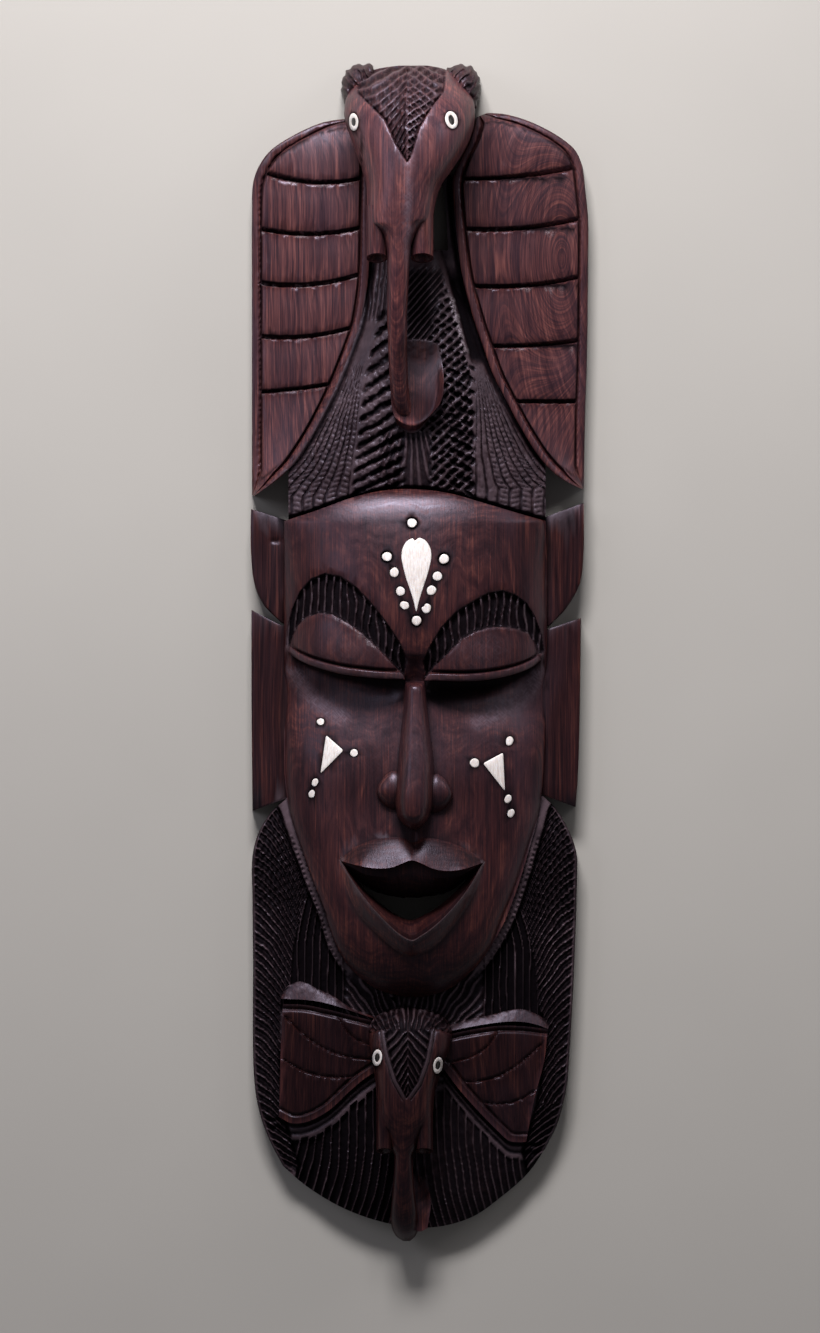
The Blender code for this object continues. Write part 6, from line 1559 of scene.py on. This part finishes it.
# scratched patches on the cheeks with painted sheen over them; painted sheen on the lids, the large head and the middle
# of the face; painted highlights along the ridge of the large head and of the nose
scuff = np.zeros(len(gx))
for pts in ([(292, 664), (303, 684), (318, 702), (340, 716)], [(541, 668), (528, 690), (505, 708), (478, 720)]):
    scuff = np.maximum(scuff, np.exp(-(polyline_distance(pts, gx, gy) / 8.0) ** 2) * (in_face > 2) * (gy > 668))
scuff = np.minimum(scuff * 1.2, 1)
scuff = np.maximum(scuff, 0.24 * (brows < 0.5) * np.exp(-((np.abs(gx - 415) - 66) / 34.0) ** 2 - ((gy - 650) / 22.0) ** 2) * (in_face > 2))
scuff = np.maximum(scuff, 0.14 * on_big * (1 - smooth(235, 285, gy)) * (big_top < 0.5))
scuff = np.maximum(scuff, 0.17 * np.exp(-((gx - 415) / 62.0) ** 2 - ((gy - 748) / 40.0) ** 2) * (in_face > 2))
scuff = np.maximum(scuff, 0.95 * on_big * np.exp(-((gx - 408) / 4.5) ** 2) * band(150, 262, gy, 14) * (big_top < 0.5))
scuff = np.maximum(scuff, 0.30 * nose_part * np.exp(-((gx - 415) / 5.0) ** 2) * band(700, 800, gy, 14))
worn = worn * np.where(on_board, 0.62 + 0.30 * (1 - smooth(960, 1040, gy)), np.where(big_top > 0.5, 0.60, np.where(small_top > 0.5, 0.50, np.where(on_mound, 0.68, np.where(brows > 0, 0.70, 1.0))))) * (1 - 0.6 * small_ears)
for name, values in (("tex", tex), ("warm", warm), ("dark", np.clip(dark, 0, 1)), ("worn", np.clip(worn, 0, 1)), ("chip", chip * front),
                     ("tone", tone / 2), ("steep", steep), ("scuff", scuff)):
    attribute(body.data, name, values)


# ---------------------------------------------------------------- materials
class Graph:
    """short way to lay out a node material"""

    def __init__(self, name):
        self.mat = bpy.data.materials.new(name)
        self.mat.use_nodes = True
        self.tree = self.mat.node_tree
        self.shader = self.tree.nodes["Principled BSDF"]

    def put(self, value, socket):
        if isinstance(value, bpy.types.NodeSocket):
            self.tree.links.new(value, socket)
        elif value is not None:
            socket.default_value = value

    def node(self, kind, out=0, **settings):
        n = self.tree.nodes.new(kind)
        inputs = settings.pop("inputs", {})
        for k, v in settings.items():
            setattr(n, k, v)
        for k, v in inputs.items():
            self.put(v, n.inputs[k])
        return n.outputs[out]

    def math(self, how, a, b=None, c=None, clamp=False):
        return self.node("ShaderNodeMath", operation=how, use_clamp=clamp, inputs={0: a, 1: b, 2: c})

    def vector(self, x, y, z):
        return self.node("ShaderNodeCombineXYZ", inputs={0: x, 1: y, 2: z})

    def noise(self, vector, scale, detail=2.0, rough=0.55, out="Factor"):
        n = self.tree.nodes.new("ShaderNodeTexNoise")
        self.put(vector, n.inputs["Vector"])
        n.inputs["Scale"].default_value = scale
        n.inputs["Detail"].default_value = detail
        n.inputs["Roughness"].default_value = rough
        return n.outputs[0]

    def ramp(self, factor, stops):
        n = self.tree.nodes.new("ShaderNodeValToRGB")
        self.put(factor, n.inputs[0])
        e = n.color_ramp.elements
        while len(e) < len(stops):
            e.new(0.5)
        for el, (pos, col) in zip(e, stops):
            el.position = pos
            el.color = (*col, 1.0) if len(col) == 3 else (col[0], col[0], col[0], 1.0)
        return n.outputs[0]

    def blend(self, factor, a, b, how="MIX"):
        n = self.tree.nodes.new("ShaderNodeMix")
        n.data_type, n.blend_type = "RGBA", how
        self.put(factor, n.inputs[0])
        for value, k in ((a, 6), (b, 7)):
            self.put((*value, 1.0) if isinstance(value, tuple) and len(value) == 3 else value, n.inputs[k])
        return n.outputs[2]

    def attribute(self, name):
        return self.node("ShaderNodeAttribute", out=2, attribute_name=name)

    def step(self, value, low, high):
        n = self.tree.nodes.new("ShaderNodeMapRange")
        n.interpolation_type = "SMOOTHSTEP"
        self.put(value, n.inputs["Value"])
        n.inputs["From Min"].default_value, n.inputs["From Max"].default_value = low, high
        return n.outputs[0]


def wood_material():
    g = Graph("carved_wood")
    at = g.tree.nodes.new("ShaderNodeTexCoord").outputs["Object"]
    sep = g.tree.nodes.new("ShaderNodeSeparateXYZ")
    g.put(at, sep.inputs[0])
    x, y, z = sep.outputs
    # growth rings of a log whose heart lies below the back
    wobble = g.noise(g.vector(g.math("MULTIPLY", x, 8.0), g.math("MULTIPLY", y, 2.0), g.math("MULTIPLY", z, 8.0)), 1.0, 2.0)
    wobble2 = g.noise(g.vector(g.math("MULTIPLY", x, 70.0), g.math("MULTIPLY", y, 11.0), g.math("MULTIPLY", z, 50.0)), 1.0, 1.0)
    shift = g.math("ADD", g.math("MULTIPLY", g.math("SUBTRACT", wobble, 0.5), 0.012), g.math("MULTIPLY", g.math("SUBTRACT", wobble2, 0.5), 0.0022))
    # a knot on the right ear
    kx, ky = (562 - 410) * 0.0008 - SHIFT_X, (666.5 - 258) * 0.0008 - SHIFT_Y
    d2 = g.math("ADD", g.math("POWER", g.math("MULTIPLY", g.math("SUBTRACT", x, kx), 26.0), 2.0),
                g.math("POWER", g.math("MULTIPLY", g.math("SUBTRACT", y, ky), 11.0), 2.0))
    reach = g.math("POWER", 2.718, g.math("MULTIPLY", d2, -0.7))
    knot = g.math("MULTIPLY", reach, 0.014)
    zz = g.math("ADD", g.math("MULTIPLY", z, 0.55), 0.24)
    r = g.math("SQRT", g.math("ADD", g.math("MULTIPLY", x, x), g.math("MULTIPLY", zz, zz)))
    r = g.math("ADD", g.math("ADD", r, shift), knot)
    fine = g.noise(g.vector(g.math("MULTIPLY", r, 1300.0), g.math("MULTIPLY", y, 11.0), g.math("MULTIPLY", x, 60.0)), 1.0, 3.0, 0.65)
    bands = g.noise(g.vector(g.math("MULTIPLY", r, 260.0), g.math("MULTIPLY", y, 6.0), g.math("MULTIPLY", x, 12.0)), 1.0, 2.0, 0.5)
    oval_run = g.math("MULTIPLY", g.math("SQRT", d2), 0.025)
    along = g.math("ADD", g.math("ADD", g.math("MULTIPLY", x, g.math("SUBTRACT", 1.0, reach)), g.math("MULTIPLY", oval_run, reach)),
                   g.math("MULTIPLY", shift, 0.35))
    streak = g.noise(g.vector(g.math("MULTIPLY", along, 950.0), g.math("MULTIPLY", y, 15.0), g.math("MULTIPLY", z, 160.0)), 1.0, 3.0, 0.65)
    hair = g.noise(g.vector(g.math("MULTIPLY", x, 1500.0), g.math("MULTIPLY", y, 55.0), g.math("MULTIPLY", r, 1500.0)), 1.0, 2.0, 0.6)
    pores = g.step(hair, 0.58, 0.68)
    warm, tex = g.attribute("warm"), g.attribute("tex")
    dark, wear_and_highlight_in, chip = g.attribute("dark"), g.attribute("worn"), g.attribute("chip")
    tone = g.math("ADD", g.math("ADD", g.math("MULTIPLY", fine, 0.42), g.math("MULTIPLY", bands, 0.10)), g.math("MULTIPLY", streak, 0.48))
    plain = g.ramp(tone, [(0.40, (0.0160, 0.0056, 0.0074)), (0.48, (0.0300, 0.0090, 0.0104)), (0.54, (0.0460, 0.0130, 0.0130)),
                          (0.63, (0.1050, 0.0310, 0.0240))])
    ruddy = g.ramp(tone, [(0.40, (0.0240, 0.0092, 0.0135)), (0.47, (0.0440, 0.0152, 0.0180)), (0.53, (0.0740, 0.0240, 0.0250)),
                          (0.62, (0.1500, 0.0510, 0.0450))])
    light, steep = g.attribute("tone"), g.attribute("steep")
    colour = g.blend(warm, plain, ruddy)
    # painted sheen: lilac blotches standing in for cool reflections
    painted_lilac_sheen = g.step(g.noise(g.vector(g.math("MULTIPLY", x, 16.0), g.math("MULTIPLY", y, 7.0), z), 1.0, 2.0), 0.50, 0.72)
    colour = g.blend(g.math("MULTIPLY", painted_lilac_sheen, 0.36), colour, (0.050, 0.026, 0.038))
    colour = g.blend(g.math("MULTIPLY", pores, 0.60), colour, (0.0060, 0.0030, 0.0045))
    # the textured parts are stained nearly black; their ridges are lighter, partly wear and partly painted highlight
    stain = g.ramp(tone, [(0.38, (0.0050, 0.0028, 0.0042)), (0.55, (0.0130, 0.0062, 0.0085)), (0.66, (0.0300, 0.0140, 0.0165))])
    colour = g.blend(g.math("MULTIPLY", tex, 0.88), colour, stain)
    colour = g.node("ShaderNodeVectorMath", operation="SCALE", inputs={0: colour, 3: g.math("MULTIPLY", light, 2.0)})
    patch = g.step(g.noise(at, 24.0, 2.0), 0.36, 0.62)
    worn = g.math("MULTIPLY", wear_and_highlight_in, g.math("ADD", 0.34, g.math("MULTIPLY", patch, 0.52)))
    colour = g.blend(worn, colour, (0.105, 0.070, 0.085))
    # scratches and painted sheen in lilac grey, with painted highlights along the ridges of the head and nose
    cross = g.noise(g.vector(g.math("MULTIPLY", g.math("ADD", x, y), 1100.0), g.math("MULTIPLY", g.math("SUBTRACT", x, y), 110.0), z), 1.0, 1.0)
    cross2 = g.noise(g.vector(g.math("MULTIPLY", g.math("SUBTRACT", x, y), 1100.0), g.math("MULTIPLY", g.math("ADD", x, y), 110.0), z), 1.0, 1.0)
    scratch = g.math("MAXIMUM", g.step(cross, 0.50, 0.64), g.step(cross2, 0.52, 0.66))
    scratches_and_sheen_mix = g.math("MULTIPLY", g.attribute("scuff"), g.math("ADD", 0.30, g.math("MULTIPLY", scratch, 0.45)))
    colour = g.blend(scratches_and_sheen_mix, colour, (0.170, 0.120, 0.155))
    # painted shade: near-black in cuts, creases, grooves, under the lids, inside the mouth and at the top of the pad;
    # also the dark joints round the inlays
    deep = g.math("MULTIPLY", dark, 0.93)
    colour = g.blend(deep, colour, (0.0018, 0.0011, 0.0017))
    # pale flecks on chipped edges, partly painted highlight
    flecks = g.step(g.noise(at, 1500.0, 1.0), 0.44, 0.56)
    colour = g.blend(g.math("MULTIPLY", chip, flecks), colour, (0.36, 0.31, 0.35))
    back = g.step(z, 0.0015, 0.0004)
    colour = g.blend(g.math("MULTIPLY", back, 0.35), colour, (0.060, 0.034, 0.024))
    g.put(colour, g.shader.inputs["Base Color"])
    rough = g.math("ADD", g.math("ADD", 0.36, g.math("MULTIPLY", tex, 0.10)), g.math("MULTIPLY", g.math("SUBTRACT", fine, 0.5), 0.30))
    rough = g.math("ADD", rough, g.math("MULTIPLY", deep, 0.35))
    g.put(rough, g.shader.inputs["Roughness"])
    gloss = g.math("MULTIPLY", g.math("ADD", 0.14, g.math("MULTIPLY", g.math("MINIMUM", light, 0.5), 0.56)), g.math("MULTIPLY", g.math("SUBTRACT", 1.0, g.math("MULTIPLY", deep, 0.85)),
                                            g.math("SUBTRACT", 1.0, g.math("MULTIPLY", steep, 0.82))))
    g.put(gloss, g.shader.inputs["Specular IOR Level"])
    g.shader.inputs["Specular Tint"].default_value = (0.84, 0.76, 1.0, 1.0)
    tool = g.noise(g.vector(g.math("MULTIPLY", x, 420.0), g.math("MULTIPLY", y, 150.0), g.math("MULTIPLY", z, 420.0)), 1.0, 2.0)
    high = g.math("ADD", g.math("MULTIPLY", hair, -0.45), g.math("MULTIPLY", tool, g.math("ADD", 0.25, g.math("MULTIPLY", tex, 1.5))))
    bump = g.tree.nodes.new("ShaderNodeBump")
    bump.inputs["Strength"].default_value = 0.35
    bump.inputs["Distance"].default_value = 0.0005
    g.put(high, bump.inputs["Height"])
    g.put(bump.outputs[0], g.shader.inputs["Normal"])
    return g.mat


def bone_material():
    g = Graph("old_bone")
    at = g.tree.nodes.new("ShaderNodeTexCoord").outputs["Object"]
    sep = g.tree.nodes.new("ShaderNodeSeparateXYZ")
    g.put(at, sep.inputs[0])
    x, y, z = sep.outputs
    streak = g.noise(g.vector(g.math("MULTIPLY", x, 900.0), g.math("MULTIPLY", y, 120.0), g.math("MULTIPLY", z, 900.0)), 1.0, 2.0)
    cloud = g.noise(at, 180.0, 2.0)
    colour = g.ramp(streak, [(0.34, (0.66, 0.58, 0.565)), (0.50, (0.77, 0.715, 0.715)), (0.66, (0.83, 0.785, 0.795))])
    colour = g.blend(g.math("MULTIPLY", g.step(cloud, 0.50, 0.70), 0.20), colour, (0.70, 0.54, 0.48))
    g.put(colour, g.shader.inputs["Base Color"])
    g.shader.inputs["Roughness"].default_value = 0.42
    g.shader.inputs["Subsurface Weight"].default_value = 0.08
    g.shader.inputs["Subsurface Radius"].default_value = (0.0012, 0.0009, 0.0006)
    bump = g.tree.nodes.new("ShaderNodeBump")
    bump.inputs["Strength"].default_value = 0.2
    bump.inputs["Distance"].default_value = 0.0003
    g.put(streak, bump.inputs["Height"])
    g.put(bump.outputs[0], g.shader.inputs["Normal"])
    return g.mat


def pupil_material():
    g = Graph("black_pupil")
    at = g.tree.nodes.new("ShaderNodeTexCoord").outputs["Object"]
    grain = g.noise(at, 900.0, 2.0)
    g.put(g.ramp(grain, [(0.35, (0.004, 0.0035, 0.004)), (0.65, (0.016, 0.012, 0.012))]), g.shader.inputs["Base Color"])
    g.shader.inputs["Roughness"].default_value = 0.28
    return g.mat


MATERIALS = {"wood": wood_material(), "bone": bone_material(), "pupil": pupil_material()}

# ---------------------------------------------------------------- the pieces join the frame
shown = bpy.data.collections.new("finished")
bpy.context.scene.collection.children.link(shown)


def show(ob, node, key):
    ob.data.materials.clear()
    ob.data.materials.append(MATERIALS[key])
    for c in list(ob.users_collection):
        c.objects.unlink(ob)
    shown.objects.link(ob)
    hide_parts(node)
    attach(ob, "root")


show(body, "mask_body", "wood")
for node, mesh, key in inlays:
    ob = solid("fine_" + node, *mesh, work)
    shade(ob, 40)
    show(ob, node, key)
bpy.data.collections.remove(work)

# ---------------------------------------------------------------- floor, light and camera
g = Graph("pale_floor")
at = g.tree.nodes.new("ShaderNodeTexCoord").outputs["Object"]
g.put(g.ramp(g.noise(at, 3.0, 3.0), [(0.3, (0.425, 0.404, 0.388)), (0.7, (0.450, 0.428, 0.411))]), g.shader.inputs["Base Color"])
g.shader.inputs["Roughness"].default_value = 0.9
me = bpy.data.meshes.new("floor")
me.from_pydata([(-20, -20, -0.0008), (20, -20, -0.0008), (20, 20, -0.0008), (-20, 20, -0.0008)], [], [(0, 1, 2, 3)])
floor = bpy.data.objects.new("floor", me)
bpy.context.scene.collection.objects.link(floor)
me.materials.append(g.mat)


def lamp(name, size, place, aim, power, colour):
    light = bpy.data.lights.new(name, "AREA")
    light.shape, light.size, light.size_y = "RECTANGLE", size[0], size[1]
    light.energy, light.color = power, colour
    ob = bpy.data.objects.new(name, light)
    ob.location = place
    ob.rotation_euler = (Vector(aim) - Vector(place)).to_track_quat("-Z", "Y").to_euler()
    bpy.context.scene.collection.objects.link(ob)


lamp("key", (0.9, 0.45), (-0.20, 1.80, 1.35), (0.0, 0.05, 0.0), 74.0, (1.0, 0.985, 0.97))
lamp("left", (1.2, 1.2), (-2.0, 0.9, 1.6), (0.0, 0.0, 0.0), 9.0, (0.90, 0.91, 1.0))
lamp("right", (0.8, 0.8), (1.7, 1.3, 1.0), (0.0, 0.0, 0.0), 6.0, (1.0, 0.97, 0.95))

world = bpy.data.worlds.new("soft_room")
bpy.context.scene.world = world
world.use_nodes = True
world.node_tree.nodes["Background"].inputs[0].default_value = (0.82, 0.82, 0.84, 1.0)
world.node_tree.nodes["Background"].inputs[1].default_value = 0.13
bpy.context.scene.view_settings.view_transform = "Standard"
bpy.context.scene.view_settings.look = "None"
bpy.context.scene.view_settings.exposure = 0.0

cam = bpy.data.cameras.new("camera")
cam.sensor_fit = "VERTICAL"
cam.sensor_height = 36.0
cam.lens = 36.0 * (EYE - REF) / (1333 * UNIT)
cam.clip_start, cam.clip_end = 0.05, 50.0
eye = bpy.data.objects.new("camera", cam)
eye.location = (-SHIFT_X, -SHIFT_Y, EYE)
bpy.context.scene.collection.objects.link(eye)
bpy.context.scene.camera = eye
